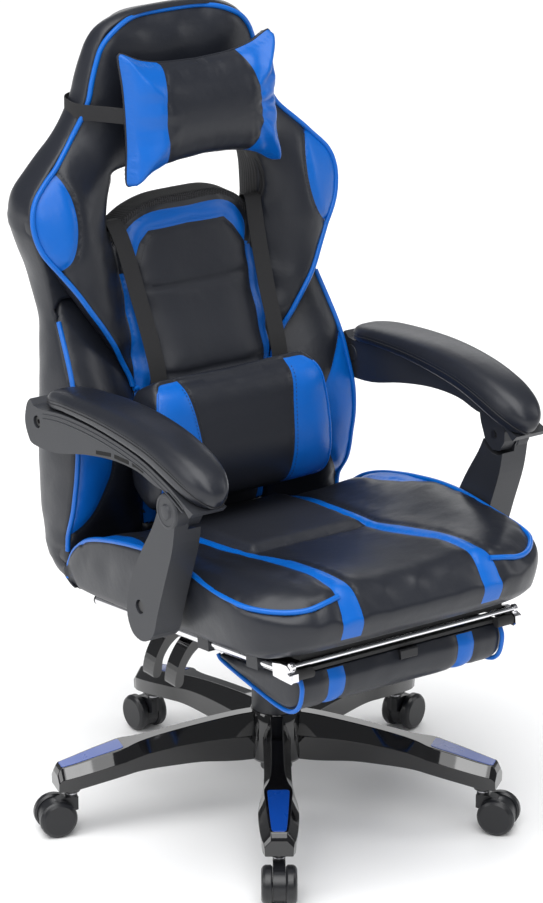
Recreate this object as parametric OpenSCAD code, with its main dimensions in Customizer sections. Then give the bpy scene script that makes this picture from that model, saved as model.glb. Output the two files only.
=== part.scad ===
// Reclining gaming chair with a slide-out footrest, on a five-star base with twin-wheel casters.
// Millimetres. +Z is up, the chair faces -Y, and the origin is on the floor on the swivel axis.

/* [Seat] */
// Height of the seat's underside on the swivel axis
seat_h = 362; // [355:1:372]
// Backward tilt of the seat, in degrees
seat_tilt = 7; // [6:0.5:8]
// Half width of the seat cushion
seat_half_w = 268; // [262:1:270]
// Half width of the seat board
board_half_w = 185; // [180:1:188]

/* [Back] */
// Height of the recline hinge
recline_z = 328; // [326:1:330]
// Distance of the recline hinge behind the swivel axis
recline_y = 170; // [167:1:172]
// Radius of the recline pin
recline_pin_r = 6; // [5:0.5:6]
// Thickness of the steel bars inside the back
back_bar = 16; // [12:1:16]

/* [Arms] */
// Inner face of the arm shell and the strut
arm_in_x = 275; // [274:1:278]
// Outer face of the arm shell and the strut
arm_out_x = 323; // [318:1:330]
// Place where the fork's inner and outer halves meet
fork_x = 298; // [294:1:302]
// Half width of the arm pad
pad_half_w = 42; // [36:1:44]
// Radius of the arm bolts
arm_bolt_r = 5; // [4:0.5:6]

/* [Footrest] */
// Distance of each rail from the middle
rail_x = 200; // [198:1:202]
// Radius of the rail tubes
rail_r = 8; // [7:0.5:8.5]
// Half width of the footrest pad
foot_half_w = 184; // [170:1:186]
// Radius of the front crossbar
crossbar_r = 3.5; // [2.5:0.5:3.5]

/* [Base] */
// Number of legs and casters
legs = 5;
// Turn of the first leg about the swivel axis, in degrees
leg_turn = -123.3; // [-130:0.1:-116]
// Reach of a leg from the swivel axis to its nose
leg_reach = 363; // [355:1:368]
// Radius of the gas lift's outer tube
lift_tube_r = 25; // [24:0.5:26]
// Radius of the gas lift's rod
lift_rod_r = 14; // [12:0.5:15]

/* [Casters] */
// Radius of a wheel
wheel_r = 30; // [28:0.5:32]
// Thickness of a wheel
wheel_w = 17; // [15:0.5:18]
// Distance of the caster stem from the swivel axis
stem_reach = 338; // [334:1:342]
// Distance of the axle outward from the stem
trail = 26; // [24:0.5:28]
// Radius of the caster stem
stem_r = 5.5; // [5:0.5:6]

/* [Hidden] */
$fn = 48;
fit = 0.05;
big = 1000;
leather = [0.10, 0.10, 0.12];
blue = [0.08, 0.30, 0.75];
plastic = [0.16, 0.16, 0.18];
gloss = [0.03, 0.03, 0.035];
steel = [0.30, 0.30, 0.32];
chrome = [0.80, 0.80, 0.82];

// Smooth line through a list of points, with n steps between each pair
function mix(a, b, c, d, t) = 0.5 * (2 * b + (c - a) * t + (2 * a - 5 * b + 4 * c - d) * t * t
    + (3 * b - a - 3 * c + d) * t * t * t);
function curve(p, n = 5) = [for (i = [0:len(p) - 2], k = [0:n - 1])
    mix(p[max(i - 1, 0)], p[i], p[i + 1], p[min(i + 2, len(p) - 1)], k / n), p[len(p) - 1]];
function reversed(p) = [for (i = [len(p) - 1:-1:0]) p[i]];
function moved(p, d) = [for (q = p) q + d];
function tail(p) = [for (i = [1:len(p) - 1]) p[i]];
function mirrored(p) = concat(p, [for (q = reversed(p)) [-q.x, q.y]]);

// A (y, z) outline made solid along X from x0 to x1
module along_x(x0, x1, outline) {
    translate([x0, 0, 0]) rotate([90, 0, 90]) linear_extrude(x1 - x0) polygon(outline);
}
// An (x, z) outline made solid along Y from y0 to y1
module along_y(y0, y1, outline) {
    translate([0, y1, 0]) rotate([90, 0, 0]) linear_extrude(y1 - y0) polygon(outline);
}
// A round bar along X
module bar_x(x0, x1, y, z, r) {
    translate([x0, y, z]) rotate([0, 90, 0]) cylinder(h = x1 - x0, r = r);
}
// A round bar along Y
module bar_y(x, y0, y1, z, r) {
    translate([x, y0, z]) rotate([-90, 0, 0]) cylinder(h = y1 - y0, r = r);
}
// A hex bolt that stands on its head's underside, with the shank along -Z
module hex_bolt(r, length) {
    translate([0, 0, -length]) cylinder(h = length, r = r);
    cylinder(h = 1.2 * r, r = 1.9 * r, $fn = 6);
}
module both_sides() {
    children();
    mirror([1, 0, 0]) children();
}
// The seat's own frame: its underside is the plane z = 0 there
module at_seat() {
    translate([0, 0, seat_h]) rotate([-seat_tilt, 0, 0]) children();
}
module at_leg(i) {
    rotate([0, 0, leg_turn + i * 360 / legs]) children();
}

// ---- base ----
hub_r = 46;
hub_z = 70;
hub_top = 165;
socket_depth = 34;
leg_side = [[30, 60], [120, 66], [230, 80], [300, 82], [stem_reach - 16, 66], [leg_reach, 68],
    [leg_reach, 111], [254, 137], [130, 156], [30, 163]];
leg_plan = [[30, 22], [120, 23], [254, 24], [310, 29.5], [leg_reach - 6, 23], [leg_reach, 14]];
leg_section = [[-31, 0], [31, 0], [31, 95], [12, 200], [-12, 200], [-31, 95]];

module leg_block() {
    intersection() {
        rotate([90, 0, 0]) linear_extrude(80, center = true) polygon(leg_side);
        linear_extrude(200) polygon(concat(leg_plan, [for (q = reversed(leg_plan)) [q.x, -q.y]]));
        rotate([90, 0, 90]) linear_extrude(big) polygon(leg_section);
    }
}
module insert_block(grow) {
    intersection() {
        rotate([90, 0, 0]) linear_extrude(80, center = true)
            polygon([[258 - grow, 100], [258 - grow, 139], [354 + grow, 115.6], [354 + grow, 100]]);
        linear_extrude(200) polygon([[258 - grow, 10 + grow], [340, 7 + grow], [354 + grow, 3 + grow],
            [354 + grow, -3 - grow], [340, -7 - grow], [258 - grow, -10 - grow]]);
        translate([0, 0, -3]) rotate([90, 0, 0]) linear_extrude(80, center = true)
            polygon([[0, 205], [254, 137 + 3], [leg_reach, 111 + 3], [leg_reach, 130], [0, 230]]);
    }
}
module star_base() {
    color(gloss) difference() {
        union() {
            translate([0, 0, hub_z]) cylinder(h = hub_top - hub_z, r = hub_r);
            for (i = [0:legs - 1]) at_leg(i) leg_block();
        }
        cylinder(h = 400, r = lift_tube_r);
        for (i = [0:legs - 1]) at_leg(i) {
            translate([stem_reach, 0, 50]) cylinder(h = 50 + socket_depth - 18, r = stem_r);
            insert_block(0);
        }
    }
}
module base_inserts() {
    color(blue) for (i = [0:legs - 1]) at_leg(i) insert_block(0);
}

// ---- casters ----
axle_r = 4;
hood_w = 19;
wheel_gap = 0.6;
hood_top = 63;
module at_stem(i) {
    at_leg(i) translate([stem_reach, 0, 0]) children();
}
module caster_stems() {
    color(steel) for (i = [0:legs - 1]) at_stem(i) {
        translate([0, 0, 42]) cylinder(h = 58, r = stem_r);
        translate([0, 0, hood_top + 0.5]) cylinder(h = 3, r = 9);
    }
}
module caster_hood(i) {
    color(plastic) at_stem(i) difference() {
        union() {
            rotate([90, 0, 0]) linear_extrude(hood_w, center = true) union() {
                translate([trail, wheel_r]) circle(r = 26);
                polygon([[-9, 38], [-9, 60], [12, 60], [trail, 56], [trail, 30]]);
            }
            translate([0, 0, 38]) cylinder(h = hood_top - 38, r = 9.5);
            translate([trail, 0, wheel_r]) rotate([90, 0, 0]) cylinder(h = 50, r = axle_r, center = true);
        }
        translate([0, 0, 41]) cylinder(h = 40, r = stem_r + fit);
    }
}
module caster_wheel(i, side) {
    inner = hood_w / 2 + wheel_gap;
    color(plastic) at_stem(i) translate([trail, 0, wheel_r]) rotate([-90 * side, 0, 0])
        translate([0, 0, inner]) rotate_extrude($fn = 72) polygon([[axle_r + fit, 0], [wheel_r - 3, 0],
            [wheel_r, 3], [wheel_r, wheel_w - 6], [wheel_r - 2, wheel_w - 2.5], [wheel_r - 6, wheel_w],
            [0, wheel_w], [0, wheel_w - 1], [axle_r + fit, wheel_w - 1]]);
}

// ---- gas lift ----
tube_top = 236;
module gas_lift_tube() {
    color(gloss) difference() {
        translate([0, 0, 62]) cylinder(h = tube_top - 62, r = lift_tube_r);
        translate([0, 0, 70]) cylinder(h = big, r = lift_rod_r + fit);
    }
}
module gas_lift_rod() {
    color(gloss) translate([0, 0, 128]) cylinder(h = 196, r = lift_rod_r);
}
module dust_cover_lower() {
    color(plastic) difference() {
        translate([0, 0, hub_top]) cylinder(h = 42, r = 39);
        translate([0, 0, 150]) cylinder(h = 54, r = 36.4);
        translate([0, 0, 150]) cylinder(h = 80, r = 35);
    }
}
module dust_cover_upper() {
    color(plastic) difference() {
        translate([0, 0, 222]) cylinder(h = 70, r = 33.5);
        translate([0, 0, 210]) cylinder(h = 78, r = 30.5);
        translate([0, 0, 210]) cylinder(h = 90, r = lift_rod_r);
    }
}

// ---- mechanism, in the seat's frame unless said ----
plate_t = 4;
bolt_x = 80;
bolt_y = [-85, 75];
housing_half_w = 62;
lever_x = -80;
height_lever = [-7, 318];
recline_lever = [56, 312];
hinge_local_y = recline_y * cos(seat_tilt) - (recline_z - seat_h) * sin(seat_tilt);
hinge_local_z = recline_y * sin(seat_tilt) + (recline_z - seat_h) * cos(seat_tilt);
module mechanism_plate() {
    color(steel) at_seat() difference() {
        translate([-100, -110, -plate_t]) cube([200, 215, plate_t]);
        for (x = [-bolt_x, bolt_x], y = bolt_y) translate([x, y, -20]) cylinder(h = 40, r = 4);
    }
}
module mechanism_housing() {
    ear = [[85, -plate_t - 0.02], [hinge_local_y - 8, -plate_t - 0.02], [hinge_local_y + 8, hinge_local_z + 5],
        [hinge_local_y + 9, hinge_local_z - 6], [hinge_local_y + 3, hinge_local_z - 11],
        [hinge_local_y - 8, hinge_local_z - 11], [95, -42], [85, -42]];
    color(steel) difference() {
        union() {
            at_seat() {
                translate([-housing_half_w, -80, -42]) cube([2 * housing_half_w, 170, 42 - plate_t]);
                both_sides() along_x(54, housing_half_w, ear);
            }
            translate([0, 0, 292.5]) cylinder(h = 30, r = 24);
            for (p = [height_lever, recline_lever]) {
                for (y = [-9.5, 6.5]) translate([-88, p[0] + y, p[1] - 8]) cube([30, 3, 16]);
                bar_y(lever_x, p[0] - 9.5, p[0] + 9.5, p[1], 3);
            }
        }
        translate([0, 0, 200]) cylinder(h = 124.5, r = lift_rod_r + fit);
        bar_x(-90, 90, recline_y, recline_z, recline_pin_r);
    }
}
module seat_bolts() {
    color(steel) at_seat() for (x = [-bolt_x, bolt_x], y = bolt_y)
        translate([x, y, -plate_t]) mirror([0, 0, 1]) hex_bolt(4, plate_t + 10);
}
module lever_rod(p) {
    color(steel) difference() {
        union() {
            bar_y(lever_x, p[0] - 6, p[0] + 6, p[1], 6.5);
            bar_x(-160, lever_x - 2, p[0], p[1], 4);
        }
        bar_y(lever_x, p[0] - 10, p[0] + 10, p[1], 3 + fit);
    }
}
module lever_paddle(p) {
    outline = curve([[-150, 7], [-166, 6], [-182, -8], [-197, -34], [-203, -62], [-196, -68], [-188, -62],
        [-184, -38], [-172, -20], [-158, -9], [-150, -7], [-150, 7]], 4);
    color(gloss) translate([0, p[0], p[1]]) difference() {
        along_y(-15, 15, outline);
        bar_x(-160, -100, 0, 0, 4);
    }
}
module recline_pin() {
    color(chrome) bar_x(-82, 82, recline_y, recline_z, recline_pin_r);
}
module recline_spring() {
    color(steel) difference() {
        union() {
            bar_x(-48, 48, recline_y, recline_z, 8);
            for (x = [-45:6:45]) translate([x, recline_y, recline_z]) rotate([0, 90, 0])
                rotate_extrude() translate([8.2, 0]) circle(r = 2.4);
        }
        bar_x(-60, 60, recline_y, recline_z, recline_pin_r + 0.2);
    }
}

// ---- seat ----
seat_top = curve([[-404, 14], [-411, 40], [-406, 78], [-383, 101], [-340, 108], [-250, 108], [-96, 103],
    [40, 104], [140, 98], [188, 76], [205, 42], [204, 12]]);
bolster_top = curve([[-404, 14], [-406, 50], [-390, 76], [-340, 88], [-306, 92], [-170, 126], [-79, 132],
    [0, 130], [75, 122], [147, 98], [190, 74], [206, 40], [204, 12]]);
seat_plan = mirrored(curve([[0, -414], [120, -408], [200, -385], [248, -340], [seat_half_w, -285],
    [seat_half_w, -160], [seat_half_w - 2, 0], [seat_half_w - 8, 120], [seat_half_w - 14, 208], [0, 210]]));
bolster_in = 150;
front_bolt = [-114, 445];
module seat_blank() {
    intersection() {
        union() {
            along_x(-bolster_in - 2, bolster_in + 2, concat(seat_top, [[190, 0], [-390, 0]]));
            both_sides() along_x(bolster_in, seat_half_w + 5, concat(bolster_top, [[190, 0], [-390, 0]]));
        }
        linear_extrude(200) polygon(seat_plan);
    }
}
module board_box() {
    translate([-board_half_w, -340, 0]) cube([2 * board_half_w, 480, 12]);
}
module seat_board() {
    color(steel) at_seat() difference() {
        board_box();
        for (x = [-bolt_x, bolt_x], y = bolt_y) translate([x, y, -5]) cylinder(h = 15, r = 4);
    }
}
module seat_cushion() {
    color(leather) difference() {
        at_seat() difference() {
            seat_blank();
            board_box();
        }
        bar_x(-big, -235, front_bolt[0], front_bolt[1], arm_bolt_r);
        bar_x(235, big, front_bolt[0], front_bolt[1], arm_bolt_r);
    }
}

// ---- back ----
back_outline = mirrored(curve([[0, 345], [200, 345], [236, 366], [250, 415], [257, 500], [257, 582],
    [251, 686], [242, 770], [246, 830], [266, 885], [278, 932], [267, 977], [226, 1015], [180, 1040],
    [157, 1070], [153, 1110], [150, 1155], [136, 1200], [112, 1222], [60, 1236], [0, 1240]], 4));
back_front = curve([[216, 345], [217, 376], [209, 415], [199, 444], [175, 500], [159, 582], [166, 682],
    [222, 805], [248, 894], [256, 950], [262, 1004], [274, 1090], [279, 1150], [276, 1200], [264, 1228],
    [276, 1242]], 4);
back_rear = curve([[332, 1242], [338, 1210], [343, 1154], [348, 1091], [350, 1027], [346, 927],
    [338, 831], [326, 755], [314, 660], [310, 541], [300, 420], [284, 345]], 4);
hole_outline = mirrored([[0, 943], [50, 940], [90, 926], [108, 912], [119, 912], [122, 930], [110, 984],
    [96, 998], [0, 1002]]);
frame_outer = mirrored([[0, 372], [100, 372], [104, 560], [114, 800], [143, 900], [146, 1010], [134, 1160],
    [112, 1204], [0, 1204]]);
frame_inner = mirrored([[0, 436], [84, 436], [88, 560], [98, 800], [127, 905], [130, 1010], [118, 1155],
    [105, 1188], [0, 1188]]);
frame_line = [[265, 360], [266, 560], [292, 800], [306, 900], [312, 1010], [317, 1210]];
rear_bolt = [176, 652];
rear_slot_r = 15;
pocket = [[-108, 236, 340], [216, 38, 98]];
module back_blank() {
    intersection() {
        along_y(100, 450, back_outline);
        along_x(-big, big, concat(back_front, back_rear));
    }
}
module frame_bars(half) {
    intersection() {
        union() {
            difference() {
                along_y(200, 400, frame_outer);
                along_y(190, 410, frame_inner);
            }
            for (z = [560, 800]) translate([-92, 200, z - half]) cube([184, 200, 2 * half]);
        }
        along_x(-big, big, concat(moved(frame_line, [-half, 0]), reversed(moved(frame_line, [half, 0]))));
    }
}
module back_cushion() {
    color(leather) difference() {
        back_blank();
        along_y(100, 450, hole_outline);
        translate(pocket[0]) cube(pocket[1]);
        frame_bars(back_bar / 2);
        for (x = [-1, 1]) bar_x(x * 300 - 66, x * 300 + 66, rear_bolt[0], rear_bolt[1], rear_slot_r);
    }
}
module back_frame() {
    color(steel) difference() {
        union() {
            frame_bars(back_bar / 2);
            translate([-105, 250, 350]) cube([210, 7.2, 84]);
        }
        for (x = [-60, 60], z = [370, 415]) bar_y(x, 200, 300, z, 4);
    }
}
module back_bracket() {
    ear = [[recline_y + 6, recline_z + 9], [recline_y - 6, recline_z + 9], [recline_y - 11, recline_z],
        [recline_y - 6, recline_z - 10], [recline_y + 6, recline_z - 13], [250, recline_z - 13],
        [250, 350], [244, 350], [232, recline_z + 9]];
    color(steel) difference() {
        union() {
            both_sides() along_x(66, 74, ear);
            translate([-90, 244, recline_z - 13]) cube([180, 6, 434 - recline_z + 13]);
        }
        bar_x(-90, 90, recline_y, recline_z, recline_pin_r + fit);
        for (x = [-60, 60], z = [370, 415]) bar_y(x, 200, 300, z, 4);
    }
}
module back_bolts() {
    color(steel) for (x = [-60, 60], z = [370, 415])
        translate([x, 244, z]) rotate([90, 0, 0]) hex_bolt(4, 14);
}

// ---- cushions on the back ----
module neck_pillow() {
    color(leather) hull() {
        for (x = [-132, 132], z = [997, 1182]) translate([x, 206 + (z - 997) * 0.1, z]) sphere(r = 7, $fn = 16);
        translate([-92, 210, 1052]) rotate([0, 90, 0]) cylinder(h = 184, r = 44, $fn = 32);
        translate([-92, 219, 1128]) rotate([0, 90, 0]) cylinder(h = 184, r = 44, $fn = 32);
    }
}
module neck_strap() {
    color(plastic) difference() {
        translate([-155.5, 270.5, 1078]) cube([311, 79, 25]);
        back_blank();
    }
}
lumbar_offset = -13;
module lumbar_cushion() {
    side = curve([[51, 548], [56, 520], [74, 502], [100, 497], [126, 503], [146, 524], [152, 552], [154, 600],
        [153, 650], [144, 678], [124, 692], [104, 694], [82, 685], [66, 662], [56, 610], [51, 575], [51, 548]], 3);
    plan = mirrored(curve([[0, 48], [118, 50], [146, 62], [158, 88], [161, 112], [155, 138], [140, 153],
        [0, 156]], 4));
    color(leather) translate([lumbar_offset, 0, 0]) intersection() {
        along_x(-200, 200, side);
        linear_extrude(big) polygon(plan);
    }
}
module lumbar_straps() {
    face = [for (q = back_front) if (q.y > 500 && q.y < 895) q];
    color(plastic) both_sides() along_x(104, 128, concat(face, reversed(moved(face, [-1.6, 0]))));
}

// ---- arms, drawn on the +X side ----
knuckle = [-191, 621];
knuckle_r = 27;
pad_x = 285;
pad_foot = curve([[-262, 640], [-236, 648], [-190, 665], [-110, 683], [0, 690], [100, 686], [160, 676],
    [186, 676]], 4);
pad_line = concat(pad_foot, tail(curve([[186, 676], [189, 690], [176, 702], [100, 716], [20, 726],
    [-60, 730], [-140, 726], [-210, 714], [-262, 696], [-284, 672], [-278, 650], [-262, 640]], 4)));
pad_plan = concat(curve([[262, 190], [262, 150], [244, 90], [pad_x - pad_half_w, 0], [240, -120],
    [243, -240], [262, -282], [pad_x, -288], [310, -282], [326, -240], [328, -120],
    [pad_x + pad_half_w, 0], [322, 120], [312, 190]], 4));
shell_top = reversed(moved(pad_foot, [0, -0.4]));
shell_low = curve([[-252, 630], [-214, 652], [-160, 652], [-110, 660], [-40, 656], [40, 640], [120, 618],
    [186, 612], [203, 622], [212, 645], [206, 672], [196, 684]], 4);
module arm_pad() {
    intersection() {
        along_x(200, 400, pad_line);
        linear_extrude(big) polygon(pad_plan);
    }
}
module arm_shell() {
    difference() {
        union() {
            along_x(arm_in_x - 11, arm_out_x, concat(shell_top, shell_low));
            along_x(arm_in_x, fork_x - 0.5, [[-150, 656], [-205, 652], [-217, 632], [-217, 616], [-205, 598],
                [-186, 594.5], [-168, 606], [-156, 632]]);
        }
        bar_x(fork_x - 0.5, big, knuckle[0], knuckle[1], knuckle_r + 1.5);
        bar_x(0, big, knuckle[0], knuckle[1], 6 + fit);
        bar_x(0, big, rear_bolt[0], rear_bolt[1], arm_bolt_r);
        bar_x(arm_out_x - 8, big, rear_bolt[0], rear_bolt[1], 10);
    }
}
module arm_strut() {
    body = curve([[-213, 606], [-204, 560], [-182, 500], [-164, 450], [-150, 410], [-122, 392],
        [-92, 398], [-78, 430], [-90, 480], [-116, 530], [-150, 582], [-165, 612]], 4);
    difference() {
        union() {
            difference() {
                along_x(arm_in_x + 1, arm_out_x, body);
                bar_x(0, fork_x + 0.5, knuckle[0], knuckle[1], knuckle_r + 6);
            }
            bar_x(fork_x + 0.5, arm_out_x, knuckle[0], knuckle[1], knuckle_r);
        }
        bar_x(0, big, knuckle[0], knuckle[1], 6);
        bar_x(0, big, front_bolt[0], front_bolt[1], arm_bolt_r + fit);
        bar_x(arm_out_x - 8, big, front_bolt[0], front_bolt[1], 11);
    }
}
module knuckle_pin() {
    bar_x(arm_in_x - 2, arm_out_x, knuckle[0], knuckle[1], 6);
    bar_x(arm_out_x, arm_out_x + 2, knuckle[0], knuckle[1], 9);
}
module arm_rear_bolt() {
    bar_x(242, arm_out_x - 8, rear_bolt[0], rear_bolt[1], arm_bolt_r);
    bar_x(arm_out_x - 8, arm_out_x - 3, rear_bolt[0], rear_bolt[1], 8.5);
}
module arm_front_bolt() {
    bar_x(235, arm_out_x - 7.9, front_bolt[0], front_bolt[1], arm_bolt_r);
    bar_x(arm_out_x - 7.9, arm_out_x - 3, front_bolt[0], front_bolt[1], 8.5);
}
module arm_shell_left() { color(plastic) arm_shell(); }
module arm_shell_right() { color(plastic) mirror([1, 0, 0]) arm_shell(); }
module arm_pad_left() { color(leather) arm_pad(); }
module arm_pad_right() { color(leather) mirror([1, 0, 0]) arm_pad(); }
module arm_strut_left() { color(plastic) arm_strut(); }
module arm_strut_right() { color(plastic) mirror([1, 0, 0]) arm_strut(); }
module knuckle_pins_left() { color(steel) knuckle_pin(); }
module knuckle_pins_right() { color(steel) mirror([1, 0, 0]) knuckle_pin(); }
module arm_rear_bolt_left() { color(steel) arm_rear_bolt(); }
module arm_rear_bolt_right() { color(steel) mirror([1, 0, 0]) arm_rear_bolt(); }
module arm_front_bolts() { color(steel) both_sides() arm_front_bolt(); }

// ---- footrest, in the seat's frame ----
rail_z = -15.6;
pivot = [-345, -19.2];
crossbar = [-331, -8.5];
foot_top = [[-352, -11], [-118, -36]];
module footrest_guides() {
    color(plastic) at_seat() both_sides() for (y = [-262, -128]) difference() {
        translate([rail_x - 13, y, -26]) cube([24, 30, 26]);
        bar_y(rail_x, y - 5, y + 40, rail_z, rail_r + fit);
    }
}
module footrest_rails() {
    color(chrome) at_seat() both_sides() difference() {
        bar_y(rail_x, -300, 206, rail_z, rail_r);
        bar_y(rail_x, -290, 220, rail_z, rail_r - 1.5);
    }
}
module footrest_crossbar() {
    color(chrome) at_seat() bar_x(1 - rail_x, rail_x - 1, crossbar[0], crossbar[1], crossbar_r);
}
module footrest_end_brackets() {
    color(chrome) at_seat() both_sides() difference() {
        union() {
            along_x(rail_x - 1, rail_x + 9, [[-300, -26], [-300, -6], [-322, -3], [-338, -3], [-354, -14],
                [-354, -26], [-348, -30], [-320, -28]]);
        }
        bar_x(0, big, pivot[0], pivot[1], 4);
    }
}
module footrest_pivot_bolts() {
    color(steel) at_seat() both_sides() {
        bar_x(rail_x - 14, rail_x + 9, pivot[0], pivot[1], 4);
        translate([rail_x + 9, pivot[0], pivot[1]]) rotate([0, 90, 0]) cylinder(h = 4, r = 7, $fn = 6);
    }
}
module footrest_board() {
    color(steel) at_seat() difference() {
        union() {
            along_x(2 - foot_half_w, foot_half_w - 2, concat(foot_top, reversed(moved(foot_top, [0, -6]))));
            both_sides() {
                bar_x(foot_half_w, rail_x - 2, pivot[0], pivot[1], 8);
                along_x(foot_half_w - 2, foot_half_w + 2, [[-353, -17], [-353, -11.5], [-300, -16],
                    [-300, -27], [-345, -27.2]]);
            }
        }
        bar_x(-big, big, pivot[0], pivot[1], 4 + fit);
        bar_x(8 - rail_x, rail_x - 8, pivot[0], pivot[1], 0.5);
    }
}
module footrest_pad() {
    side = concat([[-352, -17]], curve([[-351.5, -30], [-347, -52], [-328, -76], [-300, -87], [-262, -84],
        [-190, -66], [-130, -50], [-112, -44], [-118, -42]], 4));
    color(leather) at_seat() difference() {
        along_x(-foot_half_w, foot_half_w, side);
        bar_x(-big, big, pivot[0], pivot[1], 9);
        both_sides() along_x(foot_half_w - 3, foot_half_w + 3, [[-370, -10], [-298, -10], [-298, -28],
            [-370, -28]]);
    }
}

star_base();
base_inserts();
caster_stems();
for (i = [0:legs - 1]) {
    caster_hood(i);
    caster_wheel(i, 1);
    caster_wheel(i, -1);
}
gas_lift_tube();
gas_lift_rod();
dust_cover_lower();
dust_cover_upper();
mechanism_plate();
mechanism_housing();
lever_rod(height_lever);  // height_lever_rod
lever_paddle(height_lever);  // height_lever_paddle
lever_rod(recline_lever);  // recline_lever_rod
lever_paddle(recline_lever);  // recline_lever_paddle
recline_pin();
recline_spring();
back_bracket();
seat_bolts();
seat_board();
seat_cushion();
back_frame();
back_bolts();
back_cushion();
neck_pillow();
neck_strap();
lumbar_cushion();
lumbar_straps();
arm_shell_left();
arm_shell_right();
arm_pad_left();
arm_pad_right();
arm_strut_left();
arm_strut_right();
knuckle_pins_left();
knuckle_pins_right();
arm_rear_bolt_left();
arm_rear_bolt_right();
arm_front_bolts();
footrest_guides();
footrest_rails();
footrest_crossbar();
footrest_end_brackets();
footrest_pivot_bolts();
footrest_board();
footrest_pad();
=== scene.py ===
"""Gaming chair: soft goods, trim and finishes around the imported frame. Lengths in outlines are millimetres."""
import math

import bmesh
import bpy
import numpy as np
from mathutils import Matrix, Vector, noise
from mathutils.geometry import delaunay_2d_cdt


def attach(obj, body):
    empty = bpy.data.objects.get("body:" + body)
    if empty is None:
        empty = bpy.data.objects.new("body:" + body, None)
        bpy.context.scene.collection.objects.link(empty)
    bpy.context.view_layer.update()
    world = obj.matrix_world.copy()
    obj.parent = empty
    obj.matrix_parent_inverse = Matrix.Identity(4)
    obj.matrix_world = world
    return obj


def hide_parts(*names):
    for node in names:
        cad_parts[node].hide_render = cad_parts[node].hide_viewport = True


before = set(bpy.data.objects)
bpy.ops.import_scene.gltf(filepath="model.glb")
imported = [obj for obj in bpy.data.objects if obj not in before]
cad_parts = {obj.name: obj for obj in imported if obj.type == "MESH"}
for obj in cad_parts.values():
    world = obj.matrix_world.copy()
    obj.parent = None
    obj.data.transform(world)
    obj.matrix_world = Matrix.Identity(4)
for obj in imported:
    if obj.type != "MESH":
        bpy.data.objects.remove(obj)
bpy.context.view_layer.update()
MM = 0.001
SEAT_H = 362.0
SEAT_TILT = math.radians(7)


# ---------------------------------------------------------------- camera, light, floor

CAMERA_AIM = Vector((0.056, 0.097, 0.55))
CAMERA_TURN = math.radians(-33.93)
CAMERA_RISE = math.radians(20.15)
CAMERA_DISTANCE = 6.595
CAMERA_LENS = 167.5272
SKY_COLOUR, SKY_POWER = (0.95, 0.97, 1, 1), 0.24
SUN_PLACE, SUN_POWER, SUN_SPREAD = (-1.6, -1.2, 7.0), 3.1, math.radians(60)
LAMP_AIM = (0, 0, 0.6)
# Softboxes: name, place, width and height, power
LAMPS = [("front", (-2.2, -3.4, 3.2), (3.0, 2.2), 62), ("left", (-3.2, 0.4, 2.2), (1.5, 2.6), 40),
         ("right", (3.2, -1.8, 2.2), (1.1, 2.3), 22), ("behind", (2.3, 3.5, 2.3), (3.4, 1.8), 32)]
FLOOR_SIZE, FLOOR_COLOUR = 40, (0.93, 0.93, 0.93)


def aimed(obj, place, target):
    """Puts obj at place with its -Z axis towards target."""
    obj.location = place
    obj.rotation_euler = (target - place).to_track_quat("-Z", "Y").to_euler()
    bpy.context.scene.collection.objects.link(obj)


def make_camera():
    data = bpy.data.cameras.new("camera")
    data.lens = CAMERA_LENS
    camera = bpy.data.objects.new("camera", data)
    way = Vector((math.sin(CAMERA_TURN) * math.cos(CAMERA_RISE),
                  -math.cos(CAMERA_TURN) * math.cos(CAMERA_RISE), math.sin(CAMERA_RISE)))
    aimed(camera, CAMERA_AIM + CAMERA_DISTANCE * way, CAMERA_AIM)
    bpy.context.scene.camera = camera


def area_light(name, place, size, power):
    data = bpy.data.lights.new(name, "AREA")
    data.shape = "RECTANGLE"
    data.size, data.size_y = size
    data.energy = power
    lamp = bpy.data.objects.new(name, data)
    lamp.visible_camera = False
    aimed(lamp, Vector(place), Vector(LAMP_AIM))


def make_studio():
    scene = bpy.context.scene
    scene.view_settings.view_transform = "Standard"
    world = bpy.data.worlds.new("studio")
    world.use_nodes = True
    sky = world.node_tree.nodes["Background"].inputs
    sky["Color"].default_value, sky["Strength"].default_value = SKY_COLOUR, SKY_POWER
    scene.world = world
    sun = bpy.data.lights.new("sun", "SUN")
    sun.energy, sun.angle = SUN_POWER, SUN_SPREAD
    aimed(bpy.data.objects.new("sun", sun), Vector(SUN_PLACE), Vector((0, 0, 0)))
    for lamp in LAMPS:
        area_light(*lamp)
    bpy.ops.mesh.primitive_plane_add(size=FLOOR_SIZE)
    floor = bpy.context.object
    floor.name = "floor"
    floor.data.materials.append(plain("floor_white", FLOOR_COLOUR, 0.6))


# ---------------------------------------------------------------- shader maths

class Value:
    """A shader socket that takes part in Python arithmetic."""

    def __init__(self, shader, socket):
        self.shader, self.socket = shader, socket

    def _math(self, operation, first, second):
        node = self.shader.node("ShaderNodeMath", {"operation": operation}, {0: first, 1: second})
        return node["Value"]

    def __add__(self, other):
        return self._math("ADD", self, other)

    def __sub__(self, other):
        return self._math("SUBTRACT", self, other)

    def __rsub__(self, other):
        return self._math("SUBTRACT", other, self)

    def __mul__(self, other):
        return self._math("MULTIPLY", self, other)

    __radd__, __rmul__ = __add__, __mul__


class Outputs:
    """The output sockets of one node, by name."""

    def __init__(self, shader, node):
        self.shader, self.node = shader, node

    def __getitem__(self, name):
        return Value(self.shader, self.node.outputs[name])


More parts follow.
